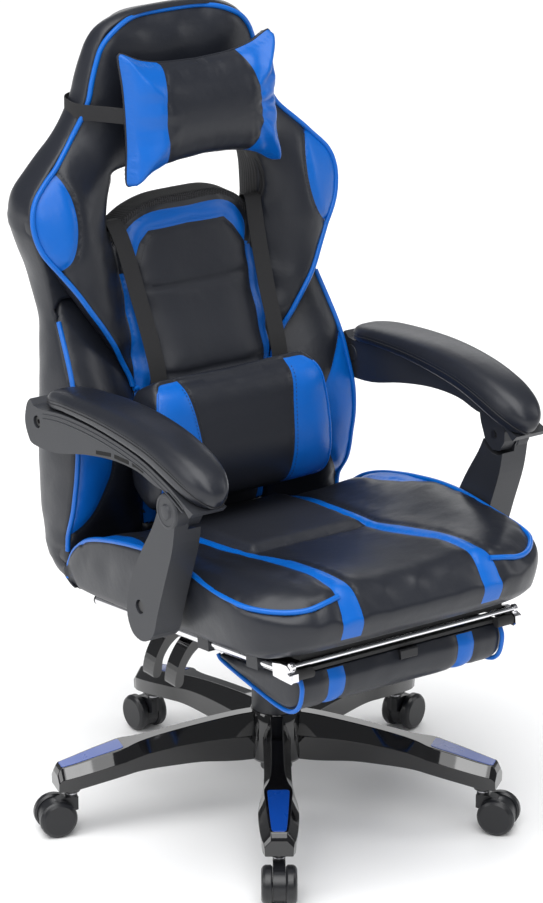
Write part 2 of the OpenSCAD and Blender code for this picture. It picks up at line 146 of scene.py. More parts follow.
class Shader:
    """One material's node tree, with a Principled surface."""

    def __init__(self, name):
        self.material = bpy.data.materials.new(name)
        self.material.use_nodes = True
        self.tree = self.material.node_tree
        self.surface = self.tree.nodes["Principled BSDF"]

    def feed(self, socket, value):
        if isinstance(value, Value):
            self.tree.links.new(value.socket, socket)
        elif hasattr(socket.default_value, "__len__") and len(socket.default_value) == 4 and len(value) == 3:
            socket.default_value = (*value, 1)
        else:
            socket.default_value = value

    def node(self, kind, settings=None, values=None):
        made = self.tree.nodes.new(kind)
        for key, value in (settings or {}).items():
            setattr(made, key, value)
        for key, value in (values or {}).items():
            self.feed(made.inputs[key], value)
        return Outputs(self, made)

    def set(self, **values):
        for key, value in values.items():
            self.feed(self.surface.inputs[key.replace("_", " ")], value)
        return self

    def place(self):
        return self.node("ShaderNodeTexCoord")["Object"]

    def noise(self, scale, detail=2.0, rough=0.5, place=None):
        return self.node("ShaderNodeTexNoise", {}, {"Vector": place or self.place(), "Scale": scale,
                                                     "Detail": detail, "Roughness": rough})["Fac"]

    def blend(self, factor, one, other):
        made = self.node("ShaderNodeMix", {"data_type": "RGBA"}, {0: factor, 6: one, 7: other})
        return Value(self, made.node.outputs[2])

    def bump(self, height, strength, distance, onto=None):
        values = {"Height": height, "Strength": strength, "Distance": distance}
        if onto:
            values["Normal"] = onto
        return self.node("ShaderNodeBump", {}, values)["Normal"]


def plain(name, colour, roughness):
    return Shader(name).set(Base_Color=colour, Roughness=roughness).material


def leather(name, dark, light, roughness, shine=0.38):
    """Coated leather: fine pebble grain, soft creases and a slightly uneven sheen."""
    s = Shader(name)
    place = s.place()
    pebble = s.node("ShaderNodeTexVoronoi", {"feature": "F1"}, {"Vector": place, "Scale": 900.0})["Distance"]
    crease = s.noise(260.0, 3.0, 0.6, place)
    swell = s.noise(22.0, 3.0, 0.55, place)
    tone = s.noise(7.0, 2.0, 0.5, place)
    fine = s.bump(pebble * 0.5 + crease, 0.16, 0.0006)
    soft = s.bump(swell, 0.22, 0.004, fine)
    s.set(Base_Color=s.blend(tone * 0.7 + crease * 0.3, dark, light), Normal=soft,
          Roughness=crease * 0.12 + tone * 0.08 + (roughness - 0.10), Specular_IOR_Level=shine)
    return s.material


def moulded(name, colour, roughness, grain=0.25, scale=1400.0):
    """Moulded plastic with a spark-eroded texture."""
    s = Shader(name)
    place = s.place()
    spark = s.noise(scale, 2.0, 0.6, place)
    patch = s.noise(14.0, 2.0, 0.5, place)
    light = tuple(c * 1.5 + 0.004 for c in colour)
    s.set(Base_Color=s.blend(patch * 0.6, colour, light), Roughness=patch * 0.12 + (roughness - 0.06),
          Normal=s.bump(spark, grain, 0.0003))
    return s.material


def gloss(name, colour, roughness=0.08):
    """Polished moulding with a faint ripple."""
    s = Shader(name)
    ripple = s.noise(28.0, 2.0, 0.5)
    s.set(Base_Color=colour, Roughness=ripple * 0.06 + (roughness - 0.03), Coat_Weight=0.5,
          Coat_Roughness=0.04, Normal=s.bump(ripple, 0.05, 0.002))
    return s.material


def metal(name, colour, roughness, brushed=0.0):
    s = Shader(name)
    place = s.place()
    smear = s.noise(60.0, 3.0, 0.6, place)
    s.set(Base_Color=colour, Metallic=1.0, Roughness=smear * 0.10 + roughness,
          Normal=s.bump(smear, 0.04 + brushed, 0.0006))
    return s.material


def painted(name, colour, roughness):
    s = Shader(name)
    peel = s.noise(420.0, 2.0, 0.5)
    s.set(Base_Color=colour, Roughness=peel * 0.1 + roughness, Normal=s.bump(peel, 0.12, 0.0004))
    return s.material


def ribbed_mesh(name, colour, light, pitch):
    """Spacer mesh: close diagonal ribs with holes between; the colour follows the rib height, so the holes are
    painted darker as shade.
    """
    s = Shader(name)
    axes = s.node("ShaderNodeSeparateXYZ", {}, {"Vector": s.place()})
    rate = 2 * math.pi / pitch
    wave = s.node("ShaderNodeMath", {"operation": "SINE"}, {0: (axes["X"] + axes["Y"] * 0.4) * rate})["Value"]
    cross = s.node("ShaderNodeMath", {"operation": "SINE"}, {0: (axes["Z"] - axes["Y"]) * rate * 1.3})["Value"]
    height = wave * 0.5 + cross * 0.3 + 0.5
    # colour by rib height: painted shade in the holes, lighter rib tops
    s.set(Base_Color=s.blend(height, colour, light), Roughness=0.75, Normal=s.bump(height, 0.7, 0.0012))
    return s.material


def webbing(name, colour):
    """Woven elastic: ribs across the strap."""
    s = Shader(name)
    axes = s.node("ShaderNodeSeparateXYZ", {}, {"Vector": s.place()})
    ribs = s.node("ShaderNodeMath", {"operation": "SINE"}, {0: (axes["Z"] + axes["Y"] * 0.3) * 4200.0})["Value"]
    yarn = s.noise(900.0, 2.0, 0.6)
    height = ribs * 0.5 + yarn
    s.set(Base_Color=s.blend(yarn, colour, tuple(c * 1.8 for c in colour)), Roughness=0.85,
          Normal=s.bump(height, 0.5, 0.0004))
    return s.material


BLACK = leather("black_leather", (0.0085, 0.010, 0.0150), (0.014, 0.0160, 0.023), 0.37, 0.42)
PANEL = leather("panel_leather", (0.0125, 0.014, 0.0195), (0.019, 0.021, 0.028), 0.50, 0.34)
BLUE = leather("blue_leather", (0.0, 0.096, 0.43), (0.001, 0.122, 0.51), 0.35, 0.34)
PIPING = leather("blue_piping", (0.0, 0.102, 0.45), (0.002, 0.130, 0.54), 0.33, 0.34)
# the mesh's holes are painted darker than its rib tops, as shade
MESH = ribbed_mesh("black_spacer_mesh", (0.004, 0.004, 0.005), (0.03, 0.03, 0.034), 0.0034)
STRAP = webbing("black_elastic", (0.010, 0.010, 0.011))
THREAD = plain("black_thread", (0.012, 0.012, 0.014), 0.6)
SHELL = moulded("arm_plastic", (0.019, 0.0205, 0.025), 0.48)
CASTER = moulded("caster_nylon", (0.0055, 0.006, 0.0078), 0.34)
GLOSS = gloss("gloss_black", (0.0028, 0.0028, 0.0036), 0.06)
# near-black colour for the arm shell slots: painted shade inside the openings
SLOT_SHADE = plain("painted_slot_shade", (0.002, 0.002, 0.002), 0.9)
INSERT = gloss("insert_blue", (0.003, 0.050, 0.30), 0.28)
CHROME = metal("polished_chrome", (0.82, 0.82, 0.84), 0.05)
ZINC = metal("zinc_plate", (0.42, 0.42, 0.44), 0.28, 0.08)
PAINT = painted("black_powder_coat", (0.012, 0.012, 0.013), 0.35)
BOARD = painted("black_board", (0.014, 0.014, 0.015), 0.6)


# ---------------------------------------------------------------- outlines and meshes

def smooth(points, steps=6):
    """A Catmull-Rom line through the points."""
    p = np.array(points, float)
    last = len(p) - 1
    out = []
    for i in range(last):
        a, b, c, d = p[max(i - 1, 0)], p[i], p[i + 1], p[min(i + 2, last)]
        for k in range(steps):
            t = k / steps
            out.append(0.5 * (2 * b + (c - a) * t + (2 * a - 5 * b + 4 * c - d) * t * t
                              + (3 * b - a - 3 * c + d) * t ** 3))
    out.append(p[-1])
    return np.array(out)


def unit(rows):
    """Each row cut to length 1."""
    return rows / np.linalg.norm(rows, axis=1)[:, None]


def flipped(points):
    """The mirror image in X of a list of points, in reverse order."""
    p = np.array(points, float)[::-1].copy()
    p[:, 0] *= -1
    return p


def both_halves(points):
    """A closed outline from its +X half, which starts and ends on the middle line."""
    p = np.array(points, float)
    other = flipped(p)
    if abs(p[-1][0]) < 1e-6:
        other = other[1:]
    if abs(p[0][0]) < 1e-6:
        other = other[:-1]
    return np.vstack([p, other])


def respaced(points, step, closed=False):
    """The same line with its points an even step apart."""
    p = np.vstack([points, points[:1]]) if closed else np.array(points, float)
    run = np.r_[0, np.cumsum(np.linalg.norm(np.diff(p, axis=0), axis=1))]
    count = max(2, int(round(run[-1] / step)))
    marks = np.linspace(0, run[-1], count + 1)
    out = np.stack([np.interp(marks, run, p[:, k]) for k in range(p.shape[1])], axis=1)
    return out[:-1] if closed else out


def inside(points, loop):
    """Which 2D points lie inside a closed loop."""
    x, y = points[:, 0], points[:, 1]
    hit = np.zeros(len(points), bool)
    for (x1, y1), (x2, y2) in zip(loop, np.roll(loop, -1, axis=0)):
        if y1 != y2:
            hit ^= ((y1 > y) != (y2 > y)) & (x < (x2 - x1) * (y - y1) / (y2 - y1) + x1)
    return hit


def distance(points, lines):
    """Distance from each 2D point to the nearest of several polylines."""
    best = np.full(len(points), 1e9)
    for line in lines:
        for a, b in zip(line[:-1], line[1:]):
            ab = b - a
            t = np.clip(((points - a) @ ab) / max(ab @ ab, 1e-9), 0, 1)
            best = np.minimum(best, np.hypot(*(points - a - t[:, None] * ab).T))
    return best


def closed_line(loop):
    return np.vstack([loop, loop[:1]])


def tied(seam, loops, reach):
    """A seam cut to the area, with an end that reaches an edge moved onto the edge's nearest point."""
    held = inside(seam, loops[0])
    for hole in loops[1:]:
        held &= ~inside(seam, hole)
    where = np.flatnonzero(held)
    seam = seam[where[0]:where[-1] + 1]
    rim = np.vstack(loops)
    for end in (0, -1):
        gap = np.linalg.norm(rim - seam[end], axis=1)
        if gap.min() < reach:
            seam = np.vstack([rim[gap.argmin()], seam]) if end == 0 else np.vstack([seam, rim[gap.argmin()]])
    return seam


TIE_REACH = 1.6       # how near an edge a seam's end must come to be joined to it, in steps
ROW_RISE = 0.87       # height of a row of even triangles, in steps
GRID_CLEARANCE = 0.55     # how near a line a grid point may lie, in steps


def net_over(loops, seams, step):
    """Triangles over the area in loops[0] and out of the other loops, following every seam.
    Returns the points, the triangles, and the indices of each loop's points."""
    loops = [respaced(l, step, True) for l in loops]
    seams = [respaced(tied(respaced(s, 1.5), loops, step * TIE_REACH), step) for s in seams]
    lines = [closed_line(l) for l in loops] + seams
    low, high = loops[0].min(0), loops[0].max(0)
    rows = np.arange(low[1] + step / 2, high[1], step * ROW_RISE)
    grid = np.array([(x + (j % 2) * step / 2, y) for j, y in enumerate(rows)
                     for x in np.arange(low[0], high[0], step)])
    keep = inside(grid, loops[0]) & (distance(grid, lines) > step * GRID_CLEARANCE)
    for hole in loops[1:]:
        keep &= ~inside(grid, hole)
    grid = grid[keep]
    points, edges, starts = [], [], []
    for i, line in enumerate(loops + seams):
        first = len(points)
        starts.append(first)
        points += [Vector(p) for p in line]
        edges += [(first + k, first + k + 1) for k in range(len(line) - 1)]
        if i < len(loops):
            edges.append((first + len(line) - 1, first))
    points += [Vector(p) for p in grid]
    verts, _, faces, origins, _, _ = delaunay_2d_cdt(points, edges, [], 0, 1e-4)
    verts = np.array([tuple(v) for v in verts])
    new_index = {o: i for i, os in enumerate(origins) for o in os}
    faces = np.array(faces)
    middle = verts[faces].mean(1)
    keep = inside(middle, loops[0])
    for hole in loops[1:]:
        keep &= ~inside(middle, hole)
    rims = [[new_index[starts[i] + k] for k in range(len(l))] for i, l in enumerate(loops)]
    return verts, faces[keep], rims


def surface_through(gauges):
    """A smooth height over the plane through gauge points (u, v, height), mirrored in u."""
    g = np.array(gauges, float)
    g = np.vstack([g, [[-u, v, h] for u, v, h in g if u > 1]])

    def radial(d):
        return np.where(d > 1e-9, d * d * np.log(np.maximum(d, 1e-9)), 0.0)

    at = g[:, :2] / 100
    n = len(at)
    m = np.zeros((n + 3, n + 3))
    m[:n, :n] = radial(np.linalg.norm(at[:, None] - at[None], axis=2)) + np.eye(n) * 2e-3
    m[:n, n] = m[n, :n] = 1
    m[:n, n + 1:] = at
    m[n + 1:, :n] = at.T
    w = np.linalg.solve(m, np.r_[g[:, 2], 0, 0, 0])

    def height(p):
        q = np.array(p, float) / 100
        out = w[n] + q @ w[n + 1:]
        for c, k in zip(at, w[:n]):
            out = out + k * radial(np.linalg.norm(q - c, axis=1))
        return out

    return height


def outward(loop):
    """Unit normals of a closed 2D loop, pointing out of it."""
    ahead, behind = np.roll(loop, -1, 0), np.roll(loop, 1, 0)
    tangent = ahead - behind
    normal = np.stack([tangent[:, 1], -tangent[:, 0]], 1)
    normal /= np.maximum(np.linalg.norm(normal, axis=1), 1e-9)[:, None]
    area = 0.5 * np.sum(loop[:, 0] * ahead[:, 1] - ahead[:, 0] * loop[:, 1])
    return normal if area > 0 else -normal


def wrinkles(points, away, reach, height, scale=0.045):
    """Small puckers that fade with distance from the seams."""
    ripple = np.array([noise.noise(Vector((p[0] * scale, p[1] * scale, 3.7))) for p in points])
    ripple += 0.5 * np.array([noise.noise(Vector((p[0] * scale * 3, p[1] * scale * 3, 9.1))) for p in points])
    return height * ripple * np.exp(-away / reach)


def mesh_object(name, verts, faces, materials, paint=None, flat=False):
    mesh = bpy.data.meshes.new(name)
    mesh.from_pydata([tuple(v) for v in np.array(verts, float) * MM], [], [tuple(f) for f in faces])
    for m in materials:
        mesh.materials.append(m)
    if paint is not None:
        mesh.polygons.foreach_set("material_index", np.array(paint, np.int32))
    mesh.polygons.foreach_set("use_smooth", [not flat] * len(mesh.polygons))
    mesh.validate()
    mesh.update()
    obj = bpy.data.objects.new(name, mesh)
    bpy.context.scene.collection.objects.link(obj)
    return obj


def outside_out(obj, merge=0.0):
    """Merges doubles and turns every face outwards."""
    work = bmesh.new()
    work.from_mesh(obj.data)
    if merge:
        bmesh.ops.remove_doubles(work, verts=work.verts, dist=merge)
    bmesh.ops.recalc_face_normals(work, faces=work.faces)
    work.to_mesh(obj.data)
    work.free()
    return obj


def lofted(rings, closed_ends=True):
    """Faces between rings of equal length, numbered from 0."""
    m = len(rings[0])
    faces = [(i * m + j, i * m + (j + 1) % m, (i + 1) * m + (j + 1) % m, (i + 1) * m + j)
             for i in range(len(rings) - 1) for j in range(m)]
    if closed_ends:
        faces += [tuple(range(m)), tuple(range((len(rings) - 1) * m, len(rings) * m))]
    return faces


def bevelled(obj, width, segments=2, angle=18):
    made = obj.modifiers.new("edges", "BEVEL")
    made.width, made.segments = width * MM, segments
    made.limit_method, made.angle_limit = "ANGLE", math.radians(angle)
    made.harden_normals = True
    return obj


def circle(turns):
    """Angles of evenly spaced points round a circle."""
    return np.linspace(0, 2 * math.pi, turns, endpoint=False)


class Parts:
    """Points and faces of several bodies that become one mesh."""

    def __init__(self):
        self.points, self.faces = [], []

    def add(self, points, faces):
        first = len(self.points)
        self.points += list(points)
        self.faces += [tuple(k + first for k in face) for face in faces]

    def mesh(self, name, material, flat=False):
        return outside_out(mesh_object(name, self.points, self.faces, [material], flat=flat))


def pad_solid(name, loops, seams, step, top, bottom, to_world, materials, paint, crease=(4.0, 7.0),
              bulge=(10.0, 4.0), rings=8, pucker=0.8, rim_crease=True, wall_paint=None,
              bottom_roll=(0.0, 1.0), bottom_inset=0.0, round_back=False, folds=0.0):
    """A closed upholstered solid over an outline. top and bottom give heights over the plan, seams sink into
    the top by crease = (depth, reach), and walls swell outwards by bulge = (outer, holes). round_back keeps
    the walls full until the back edge, folds adds slack leather to them, bottom_roll = (rise, reach) lifts
    the underside near its edge, and bottom_inset draws it in."""
    verts, tris, rims = net_over(loops, seams, step)
    rim_lines = [closed_line(verts[r]) for r in rims]
    edge_away = distance(verts, rim_lines)
    seam_away = distance(verts, [respaced(s, step) for s in seams]) if seams else np.full(len(verts), 1e9)
    depth, reach = crease
    up = top(verts) - depth * np.exp(-(seam_away / reach) ** 1.3)
    if rim_crease:
        up -= depth * np.exp(-(edge_away / reach) ** 1.3)
    fade = np.minimum(seam_away, edge_away)
    up += wrinkles(verts, fade, 26.0, pucker) * np.clip(fade / 6, 0, 1)
    low_drop, low_reach = bottom_roll
    low = bottom(verts) + low_drop * np.clip(1 - edge_away / low_reach, 0, 1) ** 2
    low_plan = verts.copy()
    if bottom_inset:
        for rim in rims:
            loop = verts[rim]
            out = outward(loop) * (1 if rim is rims[0] else -1)
            gap = np.linalg.norm(verts[:, None] - loop[None], axis=2)
            near = gap.argmin(1)
            low_plan -= out[near] * (bottom_inset * np.clip(1 - gap.min(1) / 70, 0, 1) ** 2)[:, None]
    n = len(verts)
    faces = [tuple(t) for t in tris] + [tuple(t[::-1] + n) for t in tris]
    tags = list(paint(verts[tris].mean(1))) + [0] * len(tris)
    all_plan, all_up = [verts, low_plan], [up, low]
    count = 2 * n
    for i, rim in enumerate(rims):
        rim = np.array(rim)
        loop, lower = verts[rim], low_plan[rim]
        out = outward(loop) * (1 if i == 0 else -1)
        swell = bulge[0] if i == 0 else bulge[1]
        rows = [rim]
        marks = wall_paint(loop) if wall_paint else np.zeros(len(rim), int)
        run = np.arange(len(rim)) * step
        loose = folds * np.clip(np.abs(up[rim] - low[rim]) / 90 - 0.3, 0, 1)
        for k in range(1, rings):
            s = 1 - (1 - k / rings) ** 1.6 if round_back else k / rings
            ease = 1 - (1 - s ** 3) ** (1 / 3) if round_back else s * s * (3 - 2 * s)
            slack = loose * math.sin(math.pi * s) * np.array([
                noise.noise(Vector((r * 0.022 + s * 1.4, s * 2.1, 5.0 + i))) for r in run])
            ring = loop * (1 - ease) + lower * ease
            ring = ring + out * (swell * math.sin(math.pi * s) ** 0.7 + slack)[:, None]
            all_plan.append(ring)
            all_up.append(up[rim] * (1 - s) + low[rim] * s)
            rows.append(np.arange(count, count + len(rim)))
            count += len(rim)
        rows.append(rim + n)
        for a, b in zip(rows[:-1], rows[1:]):
            for j in range(len(rim)):
                j2 = (j + 1) % len(rim)
                faces.append((a[j], b[j], b[j2], a[j2]))
                tags.append(marks[j])
    plan, up_all = np.vstack(all_plan), np.concatenate(all_up)
    obj = mesh_object(name, to_world(plan, up_all), faces, materials, tags)
    return outside_out(obj)


# ---------------------------------------------------------------- Geometry Nodes: piping, stitches

def node_group(name, numbers):
    """An empty geometry tree with a material and named numbers as its inputs."""
    group = bpy.data.node_groups.new(name, "GeometryNodeTree")
    group.interface.new_socket("Geometry", in_out="OUTPUT", socket_type="NodeSocketGeometry")
    group.interface.new_socket("Geometry", in_out="INPUT", socket_type="NodeSocketGeometry")
    group.interface.new_socket("Material", in_out="INPUT", socket_type="NodeSocketMaterial")
    for n, default in numbers.items():
        made = group.interface.new_socket(n, in_out="INPUT", socket_type="NodeSocketFloat")
        made.default_value = default
    return group


def tree_node(group, kind, settings=None, links=None):
    made = group.nodes.new(kind)
    for key, value in (settings or {}).items():
        setattr(made, key, value)
    for key, value in (links or {}).items():
        if isinstance(value, bpy.types.NodeSocket):
            group.links.new(value, made.inputs[key])
        else:
            made.inputs[key].default_value = value
    return made


def finish_tree(group, source, geometry):
    real = tree_node(group, "GeometryNodeRealizeInstances", {}, {"Geometry": geometry})
    shade = tree_node(group, "GeometryNodeSetShadeSmooth", {}, {"Geometry": real.outputs[0]})
    paint = tree_node(group, "GeometryNodeSetMaterial", {}, {"Geometry": shade.outputs[0],
                                                             "Material": source.outputs["Material"]})
    tree_node(group, "NodeGroupOutput", {}, {"Geometry": paint.outputs[0]})
    return group


def piping_tree():
    group = node_group("piping_along_a_line", {"Radius": 0.004, "Step": 0.004})
    source = group.nodes.new("NodeGroupInput")
    line = tree_node(group, "GeometryNodeMeshToCurve", {}, {"Mesh": source.outputs["Geometry"]})
    even = tree_node(group, "GeometryNodeResampleCurve", {"mode": "LENGTH"},
                     {"Curve": line.outputs[0], "Length": source.outputs["Step"]})
    ring = tree_node(group, "GeometryNodeCurvePrimitiveCircle", {}, {"Resolution": 12,
                                                                     "Radius": source.outputs["Radius"]})
    tube = tree_node(group, "GeometryNodeCurveToMesh", {}, {"Curve": even.outputs[0],
                     "Profile Curve": ring.outputs[0], "Fill Caps": True})
    return finish_tree(group, source, tube.outputs[0])


def stitch_tree():
    group = node_group("stitches_along_a_line", {"Pitch": 0.006, "Length": 0.0036, "Thickness": 0.0008})
    source = group.nodes.new("NodeGroupInput")
    line = tree_node(group, "GeometryNodeMeshToCurve", {}, {"Mesh": source.outputs["Geometry"]})
    spots = tree_node(group, "GeometryNodeCurveToPoints", {"mode": "LENGTH"},
                      {"Curve": line.outputs[0], "Length": source.outputs["Pitch"]})
    turn = tree_node(group, "FunctionNodeAlignRotationToVector", {"axis": "X"},
                     {"Vector": spots.outputs["Tangent"]})
    bead = tree_node(group, "GeometryNodeMeshIcoSphere", {}, {"Radius": 0.5, "Subdivisions": 2})
    size = tree_node(group, "ShaderNodeCombineXYZ", {}, {"X": source.outputs["Length"],
                     "Y": source.outputs["Thickness"], "Z": source.outputs["Thickness"]})
    copies = tree_node(group, "GeometryNodeInstanceOnPoints", {}, {
        "Points": spots.outputs[0], "Instance": bead.outputs[0], "Rotation": turn.outputs[0],
        "Scale": size.outputs[0]})
    return finish_tree(group, source, copies.outputs[0])


PIPING_TREE = piping_tree()
STITCH_TREE = stitch_tree()


def along_lines(name, lines, tree, material, **numbers):
    """Runs a geometry tree over polylines (mm, with a flag for closed) and returns the plain mesh."""
    verts, edges = [], []
    for points, closed in lines:
        first = len(verts)
        verts += [tuple(np.array(p) * MM) for p in points]
        edges += [(first + k, first + k + 1) for k in range(len(points) - 1)]
        if closed:
            edges.append((first + len(points) - 1, first))
    mesh = bpy.data.meshes.new(name + "_line")
    mesh.from_pydata(verts, edges, [])
    source = bpy.data.objects.new(name + "_line", mesh)
    bpy.context.scene.collection.objects.link(source)
    modifier = source.modifiers.new("tree", "NODES")
    modifier.node_group = tree
    sockets = {s.name: s.identifier for s in tree.interface.items_tree if s.in_out == "INPUT"}
    modifier[sockets["Material"]] = material
    for key, value in numbers.items():
        modifier[sockets[key]] = value * MM
    graph = bpy.context.evaluated_depsgraph_get()
    result = bpy.data.meshes.new_from_object(source.evaluated_get(graph))
    result.name = name
    bpy.data.objects.remove(source)
    obj = bpy.data.objects.new(name, result)
    bpy.context.scene.collection.objects.link(obj)
    return obj


def piping(name, lines, radius=4.0, material=None):
    return along_lines(name, lines, PIPING_TREE, material or PIPING, Radius=radius, Step=4.0)


def stitches(name, lines, material=None, pitch=6.0):
    return along_lines(name, lines, STITCH_TREE, material or THREAD, Pitch=pitch, Length=3.8, Thickness=0.9)


def place_piece(obj, body, slot, *nodes):
    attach(obj, body)
    if nodes:
        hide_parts(*nodes)
    return obj


# ---------------------------------------------------------------- back: outlines, in (x, z)

BACK_SPACING = 5.0
SHELL_SPACING = 7.0
# The head opening lies within this half width and above this height
OPENING_HALF, OPENING_LOW = 160, 850
# Outer edge of the front pad: crown, head side, neck, wing, and the wing's lower edge down to the valley
HEAD_TOP = [(0, 1229), (46, 1228), (85, 1223), (116, 1209), (134, 1190), (144, 1166), (153, 1137)]
NECK = [(159, 1112), (170, 1087), (190, 1054), (218, 1026), (244, 1001), (269, 975), (279, 950), (279, 922)]
WING_LOW = [(269, 892), (246, 860), (226, 831), (206, 798), (184, 765), (164, 733), (146, 700), (133, 672)]
PAD_FOOT = [(128, 640), (125, 560), (118, 480), (112, 430), (0, 428)]
HOLE = [(0, 944), (52, 941), (92, 928), (118, 909), (134, 900), (143, 907), (147, 930), (145, 955), (136, 982),
        (120, 1000), (0, 1003)]
SHELL_HOLE = [(0, 924), (56, 922), (98, 908), (123, 893), (137, 888), (143, 898), (144, 930), (142, 962),
              (133, 994), (114, 1011), (0, 1014)]
LEAF_SEAM = [(232, 1012), (223, 994), (216, 970), (214, 936), (220, 902), (231, 878), (248, 862)]
VALLEY = [(135, 892), (130, 868), (125, 831), (124, 775), (126, 709), (127, 656), (125, 560), (118, 480),
          (114, 432)]
STRIPE_IN = [(103, 850), (103, 811), (105, 749), (106, 661), (104, 560), (99, 480), (96, 432)]
ARCH_OUT = [(0, 923), (62, 922), (97, 905), (113, 877), (103, 850)]
ARCH_IN = [(0, 896), (70, 894), (87, 878), (103, 850)]
MESH_EDGE = [(0, 932), (63, 930), (99, 912), (118, 891), (124, 878)]
MESH_REACH = [(136, 880), (136, 950), (0, 950)]
CROSS_SEAMS = [[(0, 808), (96, 811)], [(0, 682), (96, 684)]]
# Part of the wing's edge that the blue leaf follows: lowest and highest z, least x
WING_LEAF = (862, 1012, 225)
PIPING_END = 655      # height at which the piping of the front pad stops
PIPING_WIDE = 4.2
PAD_DEPTH, PAD_LAP = 46, 20       # thickness of the front pad, and how deep the shell's front lies behind its skin

# Depth of the front pad's skin (y at each x, z)
FRONT_GAUGES = [
    (0, 1236, 300), (60, 1230, 296), (0, 1205, 276), (70, 1205, 276), (116, 1210, 277), (134, 1190, 277),
    (0, 1150, 266), (80, 1150, 267), (144, 1166, 277), (153, 1137, 276), (0, 1080, 262), (90, 1080, 262),
    (140, 1090, 268), (169, 1088, 276), (0, 1010, 258), (100, 1010, 258), (150, 1030, 256), (187, 1055, 278),
    (218, 1026, 266), (244, 1001, 261), (269, 975, 254), (279, 950, 248), (279, 924, 242), (269, 893, 233),
    (246, 861, 221), (226, 831, 209), (206, 798, 199), (184, 766, 196), (164, 735, 198), (144, 697, 204),
    (130, 664, 203), (225, 1001, 250), (217, 971, 233), (214, 936, 221), (221, 900, 214), (231, 878, 213),
    (170, 985, 243), (165, 940, 236), (165, 890, 228), (165, 840, 220), (160, 790, 211), (146, 740, 206),
    (134, 895, 260), (124, 831, 246), (124, 775, 231), (126, 709, 214), (127, 656, 201), (125, 560, 184),
    (118, 470, 196), (0, 935, 248), (90, 920, 256), (0, 896, 246), (70, 893, 248), (100, 850, 238),
    (0, 862, 233), (0, 811, 216), (96, 811, 224), (0, 749, 190), (98, 749, 206), (0, 682, 162),
    (92, 682, 172), (104, 661, 190), (0, 600, 154), (92, 600, 166), (0, 520, 162), (90, 500, 176),
    (0, 440, 184), (100, 440, 194)]


def back_to_world(plan, depth):
    """Plan (x, z) with depth -y, so that the pad's top side faces the front."""
    return np.stack([plan[:, 0], -depth, plan[:, 1]], 1)


FRONT_DEPTH = surface_through(FRONT_GAUGES)


def front_y(points):
    return FRONT_DEPTH(np.array(points, float))


def in_region(centres, *regions):
    """The index of the last region that holds each centre, from 1, or 0."""
    tags = np.zeros(len(centres), int)
    for i, region in enumerate(regions):
        mirrored = region * np.array([-1, 1])
        tags[inside(centres, region) | inside(centres, mirrored)] = i + 1
    return tags


def on_front(points, forward=0.0):
    """3D line on the front skin over a plan line."""
    p = np.array(points, float)
    return np.stack([p[:, 0], front_y(p) - forward, p[:, 1]], 1)


def mirrored_lines(lines):
    return lines + [line * np.array([-1] + [1] * (line.shape[1] - 1)) for line in lines]


def hole_lining(tag):
    """Lines the walls of the head opening, and leaves the outer walls plain."""
    def tags(loop):
        is_opening = np.abs(loop[:, 0]).max() < OPENING_HALF and loop[:, 1].min() > OPENING_LOW
        return np.full(len(loop), tag if is_opening else 0)

    return tags


def make_front_pad():
    outer = both_halves(np.vstack([smooth(HEAD_TOP + NECK + WING_LOW + PAD_FOOT[:-2], 6),
                                   PAD_FOOT[-2:]]))
    hole = both_halves(smooth(HOLE, 5))
    leaf = smooth(LEAF_SEAM, 5)
    valley, stripe = smooth(VALLEY, 5), smooth(STRIPE_IN, 5)
    arch_out, arch_in = smooth(ARCH_OUT, 4), np.array(ARCH_IN, float)
    mesh_edge = smooth(MESH_EDGE, 4)
    cross = [np.array(line, float) for line in CROSS_SEAMS]
    seams = mirrored_lines([leaf, valley, stripe, arch_out, arch_in, mesh_edge] + cross)
    wing_edge = smooth(HEAD_TOP + NECK + WING_LOW, 6)
    low, high, least = WING_LEAF
    beside = (wing_edge[:, 1] > low) & (wing_edge[:, 1] < high) & (wing_edge[:, 0] > least)
    leaf_area = np.vstack([leaf, wing_edge[beside][::-1]])
    stripe_area = np.vstack([stripe, smooth(VALLEY[2:], 5)[::-1]])
    arch_area = np.vstack([arch_out, arch_in[::-1]])
    mesh_area = np.vstack([mesh_edge, MESH_REACH])
    panel_area = np.vstack([arch_in, stripe, [(0, 430)]])

    def paint(c):
        return in_region(c, panel_area, leaf_area, stripe_area, arch_area, mesh_area)

    pad = pad_solid("back_front_pad", [outer, hole], seams, BACK_SPACING, lambda p: -front_y(p),
                    lambda p: -front_y(p) - PAD_DEPTH, back_to_world, [BLACK, PANEL, BLUE, BLUE, BLUE, MESH], paint,
                    crease=(5.0, 6.0), bulge=(2.0, 0.0), rings=5, pucker=1.2, wall_paint=hole_lining(5))
    place_piece(pad, "back", "leather_black", "back_cushion")
    edge = respaced(outer, 5, True)
    top = edge[edge[:, 1] > PIPING_END]
    left_foot = np.argmin(np.abs(top[:, 1] - PIPING_END - 9) + (top[:, 0] > 0) * 1000)
    line = on_front(np.roll(top, -left_foot, axis=0), -3.0)
    place_piece(piping("back_front_piping", [(line, False)], PIPING_WIDE), "back", "leather_black")
    rows = [on_front(s, 0.2) for s in mirrored_lines([
        respaced(leaf, 3) - [5, 0], respaced(arch_in[1:], 3) - [4, 4]])]
    place_piece(stitches("back_front_stitches", [(r, False) for r in rows]), "back", "leather_black")


